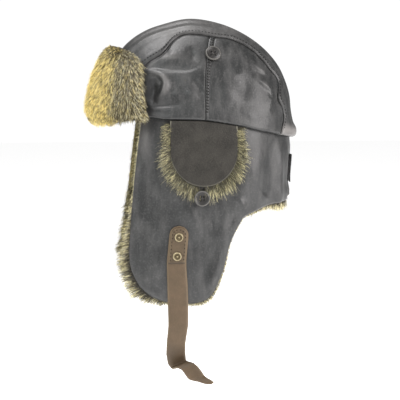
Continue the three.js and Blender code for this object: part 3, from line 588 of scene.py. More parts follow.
# %% The skirt's surface
SKIRT_HALF_WIDTH, SKIRT_BACK, SKIRT_TUCK, SEAM_GAP, GAP = 80, 110.5, 12, 0.7, 0.35
skirt_edge = table(
    "turn y z",
    (0, 113, -91), (12, 110.5, -91.5), (24, 101, -93.5), (39, 79.5, -97), (55, 48.5, -108),
    (63, 40, -119), (70, 32, -135), (77, 26.5, -152), (84, 21.5, -171), (91, 14.5, -189),
    (97, 5.5, -204), (104, -6, -211), (112, -24, -213), (120, -45, -211.5), (127, -65, -206),
    (133, -82, -194), (138, -92, -175), (141.5, -95, -157),
)
nape_line = table("z out", (-160, 0), (-96, 0), (-84, 0), (-70, -4.5), (-41, 0), (-28, 1.5), (-17, 0),
                  (0, 0))
skirt_folds = table("turn wide high", (12, 5, -2), (22, 3, 2), (30, 3.4, 3.2), (39, 5, -2.4), (50, 6, 1.2),
                    (62, 7, 1.5), (118, 9, 1.5), (134, 5, -1.5))
flap_folds = fold_lines(table(
    "fold y z high left right",
    (1, -68, -4, 0.5, 5, 4), (1, -71, -21, 1.8, 6, 4), (1, -75, -45, 1.6, 6, 4), (1, -78, -66, 0, 5, 4),
    (2, -56, -14, 0, 7, 7), (2, -59, -44, -1.8, 8, 7), (2, -61, -76, 0, 7, 7),
    (3, -80, -84, 0, 6, 5), (3, -82, -104, 2, 7, 5), (3, -81, -124, 0, 6, 5),
    (4, -62, -100, 0, 6, 5), (4, -60, -119, 2.2, 8, 5), (4, -63, -142, 0, 6, 5),
    (5, -23, -88, 0, 5, 5), (5, -20, -101, 2.4, 7, 5), (5, -14, -118, 2.2, 7, 5), (5, -11, -136, 0, 5, 5),
    (6, 32, -84, 0, 4, 2.4), (6, 42, -93.3, 2.2, 5, 2.4), (6, 50, -101, 0.6, 4, 2.4),
    (7, 41, -101, 0, 3, 4), (7, 32, -110, -1.1, 4, 6), (7, 26, -123, 0, 3, 4),
    (8, 19, -142, 0, 3, 6), (8, 13, -167, 2.2, 3, 7), (8, 7, -186, 2.4, 3, 7), (8, -1, -197, 0, 3, 5),
    (9, 6, -142, 0, 6, 6), (9, 1, -164, -0.6, 8, 9), (9, -3, -186, 0, 6, 6),
    (10, -73, -183, 0, 5, 5), (10, -61, -193, -1.8, 6, 5), (10, -50, -197, 0, 5, 5),
    (11, 50, -30, 0, 7, 8), (11, 53, -56, 1.8, 8, 9), (11, 47, -82, 0, 7, 8),
    (12, -48, -142, 0, 7, 6), (12, -56, -166, 1.6, 7, 8), (12, -58, -186, 0, 7, 6),
    (13, -4, -100, 0, 7, 7), (13, 8, -112, -1.8, 7, 7), (13, 14, -130, 0, 7, 7),
    (14, 62, -78, 0, 3, 3), (14, 72, -86, 1.6, 3, 4), (14, 84, -91, 0, 3, 3),
    (15, -12, -142, 0, 6, 6), (15, -14, -164, 1.8, 7, 7), (15, -10, -184, 0, 6, 6),
))
SKIRT_FRONT = skirt_edge["turn"][-1]
edge_y, edge_z = reader(skirt_edge, "turn", "y"), reader(skirt_edge, "turn", "z")
nape_out = reader(nape_line, "z", "out")
CURL, CURL_WIDTH = 3.5, 24
FLAP_BULGE, NAPE_ENDS, FLAP_STARTS, FOLDS_START, FOLDS_FULL = 3, 10, 48, 5, 50
SKIRT_CENTRE, VISOR_CENTRE = (0, 0, -60), (0, 0, 40)
print("flap folds:", len(flap_folds))

# %% Where the skirt starts, inside the hem
hem_turns = np.linspace(-6, SKIRT_FRONT + 12, 400)
hem_height = 0 * hem_turns
for _ in range(8):
    hem_height = hem_at(crown_around(hem_turns, hem_height)[:, 1])
hem_places = crown_around(hem_turns, hem_height + HEM_ROLL)
hem_in = level_normal(hem_places) * (HEM_TUCK + SEAM_GAP)
hem_places = np.column_stack([hem_places[:, :2], hem_height]) - hem_in


def hem_place(turn):
    """Where a line of the skirt starts."""
    return places_at(turn, hem_turns, hem_places)


# %% A place on the skirt
def edge_x(y):
    """How far out the lower edge is: nearly straight beside the face, and rounded behind the ear."""
    back = np.clip(y / SKIRT_BACK, 0, 1)
    rear = SKIRT_HALF_WIDTH * (1 - back ** 2.3) ** (1 / 2.3)
    return np.where(y < 0, SKIRT_HALF_WIDTH - 0.0005 * y * y, rear)


def out_of(p, lean=0.6):
    """The level way out of the hat. With a small lean it points more to the side."""
    return unit(p * [1, lean, 0])


def skirt_place(turn, share):
    """A place on the skirt's outer face: share is nought at the hem and one at the lower edge."""
    turn, share = np.broadcast_arrays(np.asarray(turn, float), np.asarray(share, float))
    side, turn = np.where(turn < 0, -1, 1), np.abs(turn)
    start = hem_place(turn)
    y = edge_y(turn)
    end = np.stack([edge_x(y), y, edge_z(turn)], -1)
    p = lerp(start, end, share[..., None])
    outwards = out_of(p)
    back = 1 - smooth(NAPE_ENDS, FLAP_STARTS, turn)
    bulge = FLAP_BULGE * np.sin(np.pi * np.clip(share, 0, 1))
    out = 0.6 * nape_out(p[..., 2]) * back + bulge * (1 - back)
    low = smooth(FOLDS_START, FOLDS_FULL, -p[..., 2])
    for place, wide, high in zip(skirt_folds["turn"], skirt_folds["wide"], skirt_folds["high"]):
        out = out + high * low * bell(turn - place, wide)
    out = out + fold_height(p, flap_folds) * smooth(-6, 8, -p[..., 2])
    from_front = np.clip((SKIRT_FRONT - turn) * 1.5, 0, CURL_WIDTH) / CURL_WIDTH
    from_low = np.clip((1 - share) * (start[..., 2] - end[..., 2]), 0, CURL_WIDTH) / CURL_WIDTH
    out = out - CURL * 0.8 * (1 - from_low) ** 2
    inwards = CURL * (1 - from_front) ** 2 * smooth(0, 40, -p[..., 2])
    p = p + outwards * out[..., None]
    p[..., 0] = side * (p[..., 0] - inwards)
    return p


# %% The skirt's grid
EDGE_ROLL = 2.6
TURNED_EDGES = (1, 1, 0, 1)


def from_rim(places, sides=(1, 1, 1, 1)):
    """The distance to the nearest of the chosen edges: first and last row, first and last column."""
    run = np.pad(np.cumsum(np.linalg.norm(np.diff(places, axis=0), axis=-1), 0), ((1, 0), (0, 0)))
    down = np.pad(np.cumsum(np.linalg.norm(np.diff(places, axis=1), axis=-1), 1), ((0, 0), (1, 0)))
    far = [run, run[-1:] - run, down, down[:, -1:] - down]
    return np.min([distance for distance, used in zip(far, sides) if used], axis=0)


def rolled_in(p, outwards):
    """Turns the edges of a grid of places in, as a quarter round."""
    near = np.clip(EDGE_ROLL - from_rim(p, TURNED_EDGES), 0, EDGE_ROLL)
    drop = EDGE_ROLL - np.sqrt(np.maximum(EDGE_ROLL ** 2 - near ** 2, 0))
    return p - outwards * (drop * 0.75)[..., None]


skirt_turns = np.linspace(-SKIRT_FRONT, SKIRT_FRONT, 241)
skirt_grid = skirt_place(skirt_turns[:, None], np.linspace(0, 1, 66))
skirt_grid = rolled_in(skirt_grid, out_of(skirt_grid))
tuck = skirt_grid[:, :1] + [0, 0, SKIRT_TUCK]
skirt_grid = np.concatenate([tuck - level_normal(tuck) * 2, skirt_grid], 1)
print("skirt:", skirt_grid.shape, skirt_grid.min((0, 1)).round(1), skirt_grid.max((0, 1)).round(1))


def skirt_at(y, z):
    """The place on the left flap's face that is seen from the side at y and z."""
    def share_of(turn):
        start = hem_place(turn)[..., 2]
        return (start - z) / (start - edge_z(turn))

    turn = crossing(30 + 0 * y, SKIRT_FRONT + 0 * y, lambda t: skirt_place(t, share_of(t))[..., 1] - y)
    return skirt_place(turn, share_of(turn))


# %% [markdown]
# ## Fur
#
# Each hair is a flat strip that narrows to a point, with five triangles. A hair's map holds all that its
# material needs: one direction runs from the root to the tip, and the other is the hair's own tint.
# Hairs stick together in small locks, so the tips of neighbours are drawn towards one point, which gives
# the pale flecks between dark gaps that long fur has.

# %% A mesh of many hairs
HAIR_RINGS = np.array([0, 0.4, 0.75, 1])
HAIR_CORNERS = np.array([0, 1, 3, 2, 2, 3, 5, 4, 4, 5, 6])
HAIR_FACES = np.array([4, 4, 3])


def hair_mesh(name, places, tint):
    """Seven corners for each hair make two squares and a triangle. No operator draws so many at once."""
    count, each = places.shape[:2]
    faces = (HAIR_CORNERS[None] + np.arange(count)[:, None] * each).ravel()
    starts = np.concatenate([[0], np.cumsum(np.tile(HAIR_FACES, count))[:-1]])
    mesh = bpy.data.meshes.new(name)
    mesh.vertices.add(count * each)
    mesh.vertices.foreach_set("co", (places * MM).ravel())
    mesh.loops.add(len(faces))
    mesh.loops.foreach_set("vertex_index", faces)
    mesh.polygons.add(len(starts))
    mesh.polygons.foreach_set("loop_start", starts)
    mesh.update(calc_edges=True)
    layer = mesh.uv_layers.new(name="OFBake")
    up = HAIR_RINGS[HAIR_CORNERS // 2]
    uv = np.stack([np.repeat(tint, len(HAIR_CORNERS)), 0.01 + 0.98 * np.tile(up, count)], -1)
    layer.data.foreach_set("uv", uv.ravel())
    print(name, count, "hairs,", len(starts), "faces")
    return put(name, mesh)


def grow(name, root, along, out, length, width, tint, seed, clump, lock_size, sag):
    """One mesh of hairs, from arrays of roots and directions, in millimetres."""
    random = np.random.default_rng(seed)
    count = len(root)
    t = HAIR_RINGS[None, :, None]
    lock = np.floor((root + random.uniform(0, 50, 3)) / lock_size).astype(int)
    lock += (np.sin(root * 0.9) * 1.2).astype(int)
    _, which, members = np.unique(lock, axis=0, return_inverse=True, return_counts=True)
    which = which.ravel()
    length = length * random.uniform(0.75, 1.2, len(members))[which]
    tip = root + along * length[:, None]
    tip[:, 2] -= sag * length
    centre = np.stack([np.bincount(which, tip[:, c]) for c in range(3)], -1) / members[:, None]
    centre += random.normal(0, lock_size * 0.35, centre.shape)
    tint = np.clip(tint + random.normal(0, 0.12, len(members))[which], 0.02, 0.98)
    drawn = (centre[which] - tip) * (clump * random.uniform(0.4, 1, count))[:, None]
    path = root[:, None] + (along * length[:, None])[:, None] * t
    path += (drawn[:, None] + np.array([0, 0, -1]) * (sag * length)[:, None, None]) * t ** 2
    roll = random.normal(0, 0.5, count)[:, None]
    flat = unit(np.cross(along, out))
    across = unit(flat * np.cos(roll) + out * np.sin(roll))
    half = across[:, None] * (width[:, None, None] / 2) * (1 - t ** 1.6)
    rings = np.stack([path - half, path + half], 2)[:, :-1].reshape(count, -1, 3)
    return hair_mesh(name, np.concatenate([rings, path[:, -1:]], 1), tint)


def slope_of(place, u, v):
    """A surface's place, its downward direction and its normal, from a function of two shares."""
    step = 0.004
    du = (place(u + step, v) - place(u - step, v)) / (2 * step)
    dv = (place(u, v + step) - place(u, v - step)) / (2 * step)
    return place(u, v), unit(dv), unit(np.cross(du, dv))


# %% [markdown]
# ## The visor
#
# The visor is a flap of leather lined with the deepest fur, turned up against the brow and standing a
# little off it. Its fur faces the front and hangs down over itself, so its hairs leave the leather at
# about thirty degrees and point down, and to the sides near its ends.

# %% Visor
VISOR_END_LOW, VISOR_END_HIGH, VISOR_TOP, VISOR_LOW = 45, 28, 91, -3
VISOR_GAP_LOW, VISOR_GAP_HIGH, VISOR_PILE_LOW, VISOR_PILE_HIGH = 5, 1.6, 26, 12
VISOR_LOW_MIDDLE, VISOR_LOW_CURVE, VISOR_LOW_BESIDE, VISOR_TOP_CURVE = 3, 11, 4.5, 12


def visor_place(across, up, off, spill=0, wider=0):
    """A place in front of the crown: across is -1 to 1, up is 0 to 1, off is in millimetres."""
    end = lerp(VISOR_END_LOW, VISOR_END_HIGH, up) + spill * 0.5 + wider
    beside = smooth(0.3, 0.5, np.abs(across)) * (1 - smooth(0.8, 1, np.abs(across)))
    low = VISOR_LOW + VISOR_LOW_MIDDLE * smooth(0.5, 0, np.abs(across)) + VISOR_LOW_CURVE * across ** 2
    low = low + VISOR_LOW_BESIDE * beside - spill * 0.4
    top = VISOR_TOP - VISOR_TOP_CURVE * np.abs(across) ** 3 + spill * 0.6
    p = crown_around(180 - across * end, lerp(low, top, up))
    return p + crown_normal(p) * np.asarray(off)[..., None]


def visor_clear(up):
    """The gap between the crown and the visor's leather."""
    return lerp(VISOR_GAP_LOW, VISOR_GAP_HIGH, np.clip(up, 0, 1))


def visor_pile(across, up):
    """How deep the visor's fur is. It thins towards its rim."""
    deep = lerp(VISOR_PILE_LOW, VISOR_PILE_HIGH, np.clip(up, 0, 1) ** 1.4) * (1 - 0.3 * across ** 2)
    rim = np.minimum(np.minimum((1 - np.abs(across)) / 0.12, up / 0.1), np.minimum((1 - up) / 0.12, 1))
    return deep * lerp(0.45, 1, np.sqrt(np.clip(rim, 0, 1)))


visor_across, visor_up = np.linspace(-1, 1, 81)[:, None], np.linspace(0, 1, 41)
visor_sheet = visor_place(visor_across, visor_up, visor_clear(visor_up) + LEATHER)
pelt_up = np.linspace(0.035, 1, 41)
visor_pelt = visor_place(visor_across, pelt_up,
                         visor_clear(pelt_up) + LEATHER + 1 + 0.35 * visor_pile(visor_across, pelt_up),
                         spill=2)
print("visor:", visor_sheet.min((0, 1)).round(1), visor_sheet.max((0, 1)).round(1))


# %% Hairs of the visor
def spread(count, seed, u, v):
    """Evenly mixed pairs of shares between two limits each."""
    random = np.random.default_rng(seed)
    return random.uniform(*u, count), random.uniform(*v, count), random


def visor_hairs(name, count, seed, length, lift, rise):
    """Hairs over the visor: lift is their root's height as a share of the pile, rise their slope."""
    u, v, random = spread(count, seed, (0.005, 0.995), (0.05, 0.98))
    across = 2 * u - 1

    def face(a, b):
        a = 2 * a - 1
        off = visor_clear(b) + LEATHER + 1 + lift * visor_pile(np.clip(a, -1, 1), np.clip(b, 0.001, 0.999))
        wider = lerp(4.5, 6, smooth(0.1, 0.6, b)) * (1 - 0.5 * smooth(0.85, 1, b))
        return visor_place(a, b, off, spill=3, wider=wider)

    root, _, out = slope_of(face, u, v)
    out = np.where((out * root).sum(-1, keepdims=True) < 0, -out, out)
    side = np.sign(across) * smooth(0.45, 1, np.abs(across))
    top = smooth(0.8, 1, v)
    aside = unit(np.cross([0.0, 0, 1], out)) * side[:, None]
    along = out * (rise + 0.1 * top)[:, None] - np.array([0, 0, 1.0]) * (1 - 0.3 * top)[:, None]
    along = unit(along + aside * 0.5 + random.normal(0, 0.17, (count, 3)))
    middle = smooth(0.55, 0.2, np.abs(across)) * smooth(0.3, 0.1, v)
    along = unit(along - out * (0.9 * middle)[:, None])
    reach = length * random.uniform(0.7, 1.2, count) * (1 - 0.5 * top) * lerp(0.7, 1, smooth(0, 0.3, v))
    reach = reach * (1 - 0.35 * middle)
    width = random.uniform(0.28, 0.65, count)
    at_side = smooth(0.55, 0.75, np.abs(across))
    dark = random.random(count) < lerp(0.16, 0.55, np.maximum(at_side, smooth(0.78, 0.93, v)))
    tint = np.where(dark, -0.06, lerp(0.95, 0.55, at_side)) + random.normal(0, 0.1, count)
    return grow(name, root, along, out, reach, width, tint, seed + 1, clump=0.2, lock_size=3, sag=0.08)


# %% [markdown]
# ## The ear vents
#
# A vent is a half-round flap of napped leather over a round of fur, whose hairs stand out past its edge
# in every direction like the rays of a sun. An elastic loop at its lowest point holds a button.

# %% Vent shapes
VENT_Y, VENT_HALF_WIDTH, VENT_SIDE_Z, VENT_END_Z = -3.7, 39, -28, -70
VENT_PILE, VENT_SEAT, VENT_NOTCH = 4, 0.9, 8
VENT_LEAN, VENT_STRAIGHT = 0.3, 0.2
VENT_BUTTON_Y, VENT_BUTTON_Z = -6.3, -84


def vent_places(columns, rows, off):
    """A grid over the vent from the hem down to its half-round end."""
    across = np.sin(np.linspace(-np.pi / 2, np.pi / 2, columns + 1))
    y = VENT_Y + VENT_HALF_WIDTH * across
    low = VENT_SIDE_Z + (VENT_END_Z - VENT_SIDE_Z) * np.sqrt(np.maximum(1 - across ** 2, 0))
    top = hem_at(y) - GAP - 0.4
    down = np.linspace(0, 1, rows + 1)
    p = skirt_at(y[:, None] + 0 * down, lerp(top[:, None], low[:, None], down))
    return p + out_of(p, VENT_LEAN) * off


vent_sheet = vent_places(50, 44, VENT_SEAT + VENT_PILE + GAP + LEATHER)
print("vent:", vent_sheet.min((0, 1)).round(1), vent_sheet.max((0, 1)).round(1))


# %% Hairs round the vent
def vent_rim(t):
    """The vent's outline: 0 is the front top, 1 the rear top. Gives its y and z and the way out."""
    side = np.where(t < VENT_STRAIGHT, -1.0, np.where(t > 1 - VENT_STRAIGHT, 1.0, 0.0))
    turn = np.radians(lerp(-90, 90, (t - VENT_STRAIGHT) / (1 - 2 * VENT_STRAIGHT)))
    across = np.where(side != 0, side, np.sin(turn))
    bend = np.where(side != 0, 0, np.cos(turn))
    height = np.where(side < 0, lerp(6, VENT_SIDE_Z, t / VENT_STRAIGHT),
                      lerp(0, VENT_SIDE_Z, (1 - t) / VENT_STRAIGHT))
    y = VENT_Y + VENT_HALF_WIDTH * across
    z = np.where(side != 0, height, VENT_SIDE_Z + (VENT_END_Z - VENT_SIDE_Z) * bend)
    return y, z, across, -np.maximum(bend, 0.0)


def vent_hairs(name, count, seed):
    """Hairs that stand out round the vent, but leave the loop and the button free."""
    random = np.random.default_rng(seed)
    t = random.uniform(0, 1, count)
    y, z, ay, az = vent_rim(t)
    inset = random.uniform(-7, 2, count)
    free = np.abs(y - VENT_BUTTON_Y) > lerp(3, 8, random.random(count))
    keep = free | (z > VENT_END_Z + VENT_NOTCH)
    t, y, z, ay, az, inset = (a[keep] for a in (t, y, z, ay, az, inset))
    count = len(t)
    root = skirt_at(y + ay * inset, np.minimum(z + az * inset, hem_at(y) - 2))
    out = out_of(root, VENT_LEAN)
    root = root + out * (VENT_SEAT + random.uniform(0, VENT_PILE, count))[:, None]
    along = np.stack([0 * ay, ay, az - 0.3], -1)
    along = unit(along + out * 0.22 + random.normal(0, [0.15, 0.3, 0.3], (count, 3)))
    longest = lerp(12, 19, smooth(0, 0.3, np.minimum(t, 1 - t)))
    length = longest * random.uniform(0.4, 1.25, count) - np.clip(inset, 0, 9) * 0.8
    width = random.uniform(0.3, 0.65, count)
    tint = np.where(random.random(count) < 0.62, -0.06, 0.85) + random.normal(0, 0.14, count)
    return grow(name, root, along, out, length, width, tint, seed + 1, clump=0.5, lock_size=3.4, sag=0.08)


# %% [markdown]
# ## Fur inside the flaps
#
# The lining is one pelt that follows the leather's inner face. Its hairs point down and a little into
# the hat. More hairs grow along its edges and point outwards, so that a fringe of tips shows past the
# leather from outside.

# %% Lining shapes
FUR_OFF = LEATHER + GAP


def skirt_inside(u, v, off=0.0):
    """A place on the skirt's inner face, from two shares of the skirt."""
    p = skirt_place((2 * u - 1) * SKIRT_FRONT, v)
    return p - out_of(p) * (FUR_OFF + off)


pelt_grid = skirt_inside(np.linspace(0.004, 0.996, 101)[:, None], np.linspace(0.04, 0.99, 33), 0.4)
edge_turns = np.linspace(-SKIRT_FRONT, SKIRT_FRONT, 400)
edge_line = skirt_place(edge_turns, 1.0 + 0 * edge_turns)
edge_run = run_along(edge_line)
edge_away = unit(np.cross(np.gradient(edge_line, axis=0), out_of(edge_line)))
edge_away = edge_away * -np.sign(edge_away[:, 2:])
print("lower edge:", round(edge_run[-1]), "mm")


# %% Hairs of the lining and its fringe
def lining_hairs(name, count, seed):
    """Hairs all over the inner face, which point down and into the hat."""
    u, v, random = spread(count, seed, (0.005, 0.995), (0.05, 0.97))
    root, down, _ = slope_of(lambda a, b: skirt_inside(a, b, 1.5), u, v)
    inward = -out_of(root)
    along = unit(down * 0.9 + inward * 0.75 + random.normal(0, 0.22, (count, 3)))
    length = random.uniform(11, 17, count)
    tint = 0.42 + random.normal(0, 0.2, count)
    return grow(name, root, along, inward, length, random.uniform(0.5, 1.0, count), tint, seed + 1,
                clump=0.5, lock_size=6, sag=0.15)


fringe = table(
    "turn past",
    (0, 11), (20, 11), (30, 8.5), (44, 4), (66, 2), (84, 3), (90, 3.6), (97, 4.4), (104, 5.6),
    (112, 3.4), (117, 3.2), (121, 4.4), (127, 10.5), (133, 18.5), (138, 18.5), (142, 16.5),
)


def edge_hairs(name, count, seed):
    """The fringe, along the lower edge and down the two front edges."""
    random = np.random.default_rng(seed)
    low = count * 6 // 10
    turn = np.interp(random.uniform(0, edge_run[-1], low), edge_run, edge_turns)
    u = np.concatenate([(turn / SKIRT_FRONT + 1) / 2, random.choice([0.004, 0.996], count - low)])
    v = np.concatenate([np.full(low, 0.995), random.uniform(0.02, 0.995, count - low)])
    root = skirt_inside(u, v)
    inward = -out_of(root)
    root = root + inward * random.uniform(0.2, 6.0, count)[:, None]
    at_edge = (2 * u - 1) * SKIRT_FRONT
    down = places_at(at_edge, edge_turns, edge_away)
    down = unit(down + smooth(118, 128, np.abs(at_edge))[:, None] * [0, -0.5, 0.25])
    ahead = unit(np.cross(skirt_inside(u, v + 0.01) - skirt_inside(u, v - 0.01), inward))
    ahead = ahead * -np.sign(ahead[:, 1:2])
    front = np.arange(count) >= low
    away = np.where(front[:, None], ahead, down)
    past = reader(fringe, "turn", "past")(np.abs(at_edge))
    past = np.where(front, past * np.maximum(0.28, lerp(0.1, 1.0, np.clip(v, 0, 1) ** 2)), past)
    set_back = random.uniform(0, 5, count)
    root = root - away * set_back[:, None]
    fall = np.where(front, 0.4, 0.15)[:, None] * np.array([0, 0, -1.0])
    along = unit(away + fall + inward * 0.1 + random.normal(0, 0.26, (count, 3)))
    length = set_back + past * random.uniform(0.75, 1.45, count)
    dark = lerp(0.3, 0.54, smooth(30, 45, np.abs(at_edge)))
    dark = np.where(front, lerp(0.25, dark, smooth(0.4, 0.7, v)), dark)
    tint = np.where(random.random(count) < dark, -0.05, 0.78) + random.normal(0, 0.16, count)
    return grow(name, root, along, inward, length, random.uniform(0.4, 0.85, count), tint, seed + 1,
                clump=0.35, lock_size=3.5, sag=0.05)


# %% [markdown]
# ## Straps, studs and buttons
#
# The chin strap is a ribbon of brown leather. Its two edges run through the places of a table: smoothly
# at first, and lower down in nearly straight lines, so that it creases at each of them as a stiff strap
# does. The studs and buttons are turned shapes: half of an outline, spun round its axis.

# %% Strap shapes
STRAP_SEAT, PATCH_END, PATCH_THICKNESS, PATCH_INSET = 0.85, -163, 1.5, 1.6
RIGHT_STRAP_END = -262
CREASE_STEPS = 2
strap_fall = table(
    "y z x half",
    (-33.9, -128.4, 0, 11.4), (-35.1, -142, 0, 11.5), (-36.7, -162, 0, 11.6),
    (-35.6, -190, 0, 12.2), (-35, -214, 83.5, 12.3), (-34.8, -238, 83.5, 12),
)
strap_curl = np.array([
    [(82, -48.7, -259), (82, -26, -260)], [(77, -49, -274.5), (76, -25.7, -272.5)],
    [(70, -46.5, -288), (72, -24.7, -280)], [(69, -43.2, -292.7), (71, -24.4, -283)],
    [(83, -37.8, -288.5), (83, -21.6, -281.8)], [(89, -31.2, -291), (88, -17, -282.4)],
    [(90.5, -27, -297), (90, -10.5, -288.2)], [(91, -23.4, -302), (91, -4.2, -297.5)],
    [(97, -13.4, -303.6), (97, -0.5, -299.6)], [(102, -2.6, -306.5), (102, 4, -301.5)],
    [(103, 3.6, -306.3), (103, 6.6, -304)],
])
right_fall = table("y z x half", (-33.5, -186, 0, 12.1), (-28.5, -212, 83.5, 12.2), (-24.5, -234, 83, 12),
                   (-23, -252, 82.5, 12))


def strap_x(y, z):
    """How far out the strap's outer face is, where it lies on the flap."""
    return skirt_at(np.asarray(y, float), np.asarray(z, float))[..., 0] + STRAP_SEAT + LEATHER


def strap_edges(rows):
    """The strap's two edges, a pair of places for each row. A row whose x is nought lies on the flap."""
    middle = np.stack([rows["x"], rows["y"], rows["z"]], -1)
    lies = rows["x"] == 0
    middle[lies, 0] = strap_x(rows["y"][lies], rows["z"][lies])
    half = rows["half"][:, None] * [0, 1, 0]
    return np.stack([middle - half, middle + half], 1)


def joined(*parts):
    """Tables one after the other."""
    return {key: np.concatenate([part[key] for part in parts]) for key in parts[0]}


def round_end(rows, row, shares, direction):
    """Rows that narrow to a round end, above or below one row of the table."""
    one = {key: np.full(len(shares), value[row]) for key, value in rows.items()}
    one["z"] = one["z"] + direction * one["half"] * shares
    one["half"] = one["half"] * np.sqrt(1 - shares ** 2)
    return one


def ribbon_places(edges, lengthwise, across, creased=0.0):
    """A grid along a ribbon, with steps of equal length and creases of about four millimetres."""
    run = run_along(edges.mean(1))
    at = np.linspace(0, run[-1], lengthwise + 1)
    flat = edges.reshape(len(run), 6)
    line = {"run": run, **dict(enumerate(flat.T))}
    curved = np.stack([reader(line, "run", k)(at) for k in range(6)], -1)
    straight = np.stack([np.interp(at, run, flat[:, k]) for k in range(6)], -1)
    for _ in range(CREASE_STEPS):
        straight[1:-1] = (straight[:-2] + 2 * straight[1:-1] + straight[2:]) / 4
    read = lerp(curved, straight, creased * smooth(0.3, 0.6, at / run[-1])[:, None]).reshape(-1, 2, 3)
    t = np.linspace(0, 1, across + 1)[None, :, None]
    return lerp(read[:, :1], read[:, 1:], t)


# %% Both straps and the stitched layer
TOP_SHARES = np.array([0.999, 0.97, 0.9, 0.78, 0.6, 0.35])
STRAP_COLUMNS = 10

strap_top = round_end(strap_fall, 0, TOP_SHARES, 1)
left_edges = np.concatenate([strap_edges(joined(strap_top, strap_fall)), strap_curl])
left_strap = ribbon_places(left_edges, 220, STRAP_COLUMNS, creased=1.0)
patch_rows = chosen(strap_fall, strap_fall["z"] > PATCH_END)
right_rows = joined(patch_rows, right_fall)
low_end = round_end(dict(right_rows, z=right_rows["z"] * 0 + RIGHT_STRAP_END), -1, TOP_SHARES[::-1], -1)
right_strap = ribbon_places(strap_edges(joined(strap_top, right_rows, low_end)), 150, STRAP_COLUMNS) * MIRROR
patch_rows = dict(patch_rows, half=patch_rows["half"] - PATCH_INSET)
patch_top = round_end(dict(patch_rows, z=patch_rows["z"] - 0.5), 0, TOP_SHARES, 1)
patch = ribbon_places(strap_edges(joined(patch_top, patch_rows)), 50, STRAP_COLUMNS)
patch = patch + [GAP + PATCH_THICKNESS, 0, 0]
print("strap length:", round(run_along(left_strap.mean(1))[-1]), "mm")

# %% Turned shapes
BUTTON_RADIUS, BUTTON_DEPTH, BUTTON_FLOOR, BUTTON_LIFT = 9.6, 3.4, 2.2, 4.4
BUTTON_HOLE, BUTTON_HOLE_PLACE, PIN_LENGTH, PIN_HEIGHT = 1.45, 3, 4, 2.4
BUTTON_RIM, BUTTON_GROOVE = 0.9, 2.9
STUD_RADIUS, STUD_UPPER, STUD_LOWER, GROOVE_INNER, GROOVE_OUTER = 5.3, -130.5, -153.5, 1.0, 3.7


def turned(profile, steps=48):
    """A profile of radius and height, in millimetres, spun round the Z axis."""
    spun = bmesh.new()
    line = [spun.verts.new((r * MM, 0, h * MM)) for r, h in profile]
    edges = [spun.edges.new(pair) for pair in zip(line, line[1:])]
    bmesh.ops.spin(spun, geom=line + edges, cent=(0, 0, 0), axis=(0, 0, 1), angle=2 * math.pi,
                   steps=steps, use_merge=True)
    bmesh.ops.remove_doubles(spun, verts=spun.verts, dist=1e-6)
    bmesh.ops.recalc_face_normals(spun, faces=spun.faces)
    return spun


def facing(made, place, outwards):
    """Turns a shape made round the Z axis to face a direction, and puts it at a place."""
    turn = Vector((0, 0, 1)).rotation_difference(Vector(outwards)).to_matrix()
    bmesh.ops.rotate(made, verts=made.verts, cent=(0, 0, 0), matrix=turn)
    bmesh.ops.translate(made, verts=made.verts, vec=Vector(place) * MM)


def button_shape(shank):
    """A button with a raised rim. The lower one stands on a shank."""
    neck = [(0, -shank), (BUTTON_HOLE_PLACE, -shank), (BUTTON_HOLE_PLACE, 0)] if shank else [(0, 0)]
    return turned([
        *neck, (BUTTON_RADIUS - 1.4, 0), (BUTTON_RADIUS - 0.4, 0.5), (BUTTON_RADIUS, 1.4),
        (BUTTON_RADIUS - 0.15, 2.4), (BUTTON_RADIUS - 0.6, 3.1), (BUTTON_RADIUS - 1.2, BUTTON_DEPTH),
        (BUTTON_RADIUS - 1.8, BUTTON_DEPTH - 0.15), (BUTTON_RADIUS - 2.5, 2.7),
        (BUTTON_RADIUS - 3.4, BUTTON_FLOOR), (BUTTON_RADIUS - 5, BUTTON_FLOOR - 0.15),
        (0, BUTTON_FLOOR - 0.3),
    ])


def button(name, shank, place, outwards):
    """A four-hole button: the holes are cut from the turned disc while it still lies flat."""
    made = object_from(name, button_shape(shank))
    pins = bmesh.new()
    for turn in np.radians([45, 135, 225, 315]):
        pin = bmesh.ops.create_cone(pins, cap_ends=True, segments=20, radius1=BUTTON_HOLE * MM,
                                    radius2=BUTTON_HOLE * MM, depth=PIN_LENGTH * MM)
        spot = Vector((BUTTON_HOLE_PLACE * math.cos(turn), BUTTON_HOLE_PLACE * math.sin(turn), PIN_HEIGHT))
        bmesh.ops.translate(pins, verts=pin["verts"], vec=spot * MM)
    cutter = object_from(name + "_pins", pins)
    holes = made.modifiers.new("holes", "BOOLEAN")
    holes.object, holes.operation, holes.solver = cutter, "DIFFERENCE", "EXACT"
    bpy.context.view_layer.update()
    cut = bmesh.new()
    cut.from_object(made, bpy.context.evaluated_depsgraph_get())
    made.modifiers.clear()
    bpy.data.objects.remove(cutter)
    rim = np.array([math.hypot(v.co.x, v.co.y) / MM for v in cut.verts])
    low = np.array([v.co.z / MM for v in cut.verts])
    facing(cut, place, outwards)
    cut.to_mesh(made.data)
    cut.free()
    # A painted highlight on the rim, and painted shade on the floors of the holes and in the groove inside
    # the rim
    mark(made, "worn", bell(rim - BUTTON_RADIUS + BUTTON_RIM, 0.6))
    hole_floor = (low < 1) & (rim < BUTTON_HOLE_PLACE + BUTTON_HOLE + 0.3)
    mark(made, "shade", np.where(hole_floor, 1, 0.75 * bell(rim - BUTTON_RADIUS + BUTTON_GROOVE, 0.5)))
    return made


def stud_shape():
    """A pressed ring with a groove and a pin in its middle."""
    return turned([
        (0, 0), (STUD_RADIUS, 0), (STUD_RADIUS, 0.7), (STUD_RADIUS - 0.25, 1.4), (STUD_RADIUS - 0.8, 1.85),
        (STUD_RADIUS - 1.4, 1.8), (STUD_RADIUS - 1.9, 1.3), (STUD_RADIUS - 2.2, 0.6), (1.7, 0.5),
        (1.5, 0.9), (1.3, 1.5), (0.9, 1.85), (0, 1.9),
    ], 40)


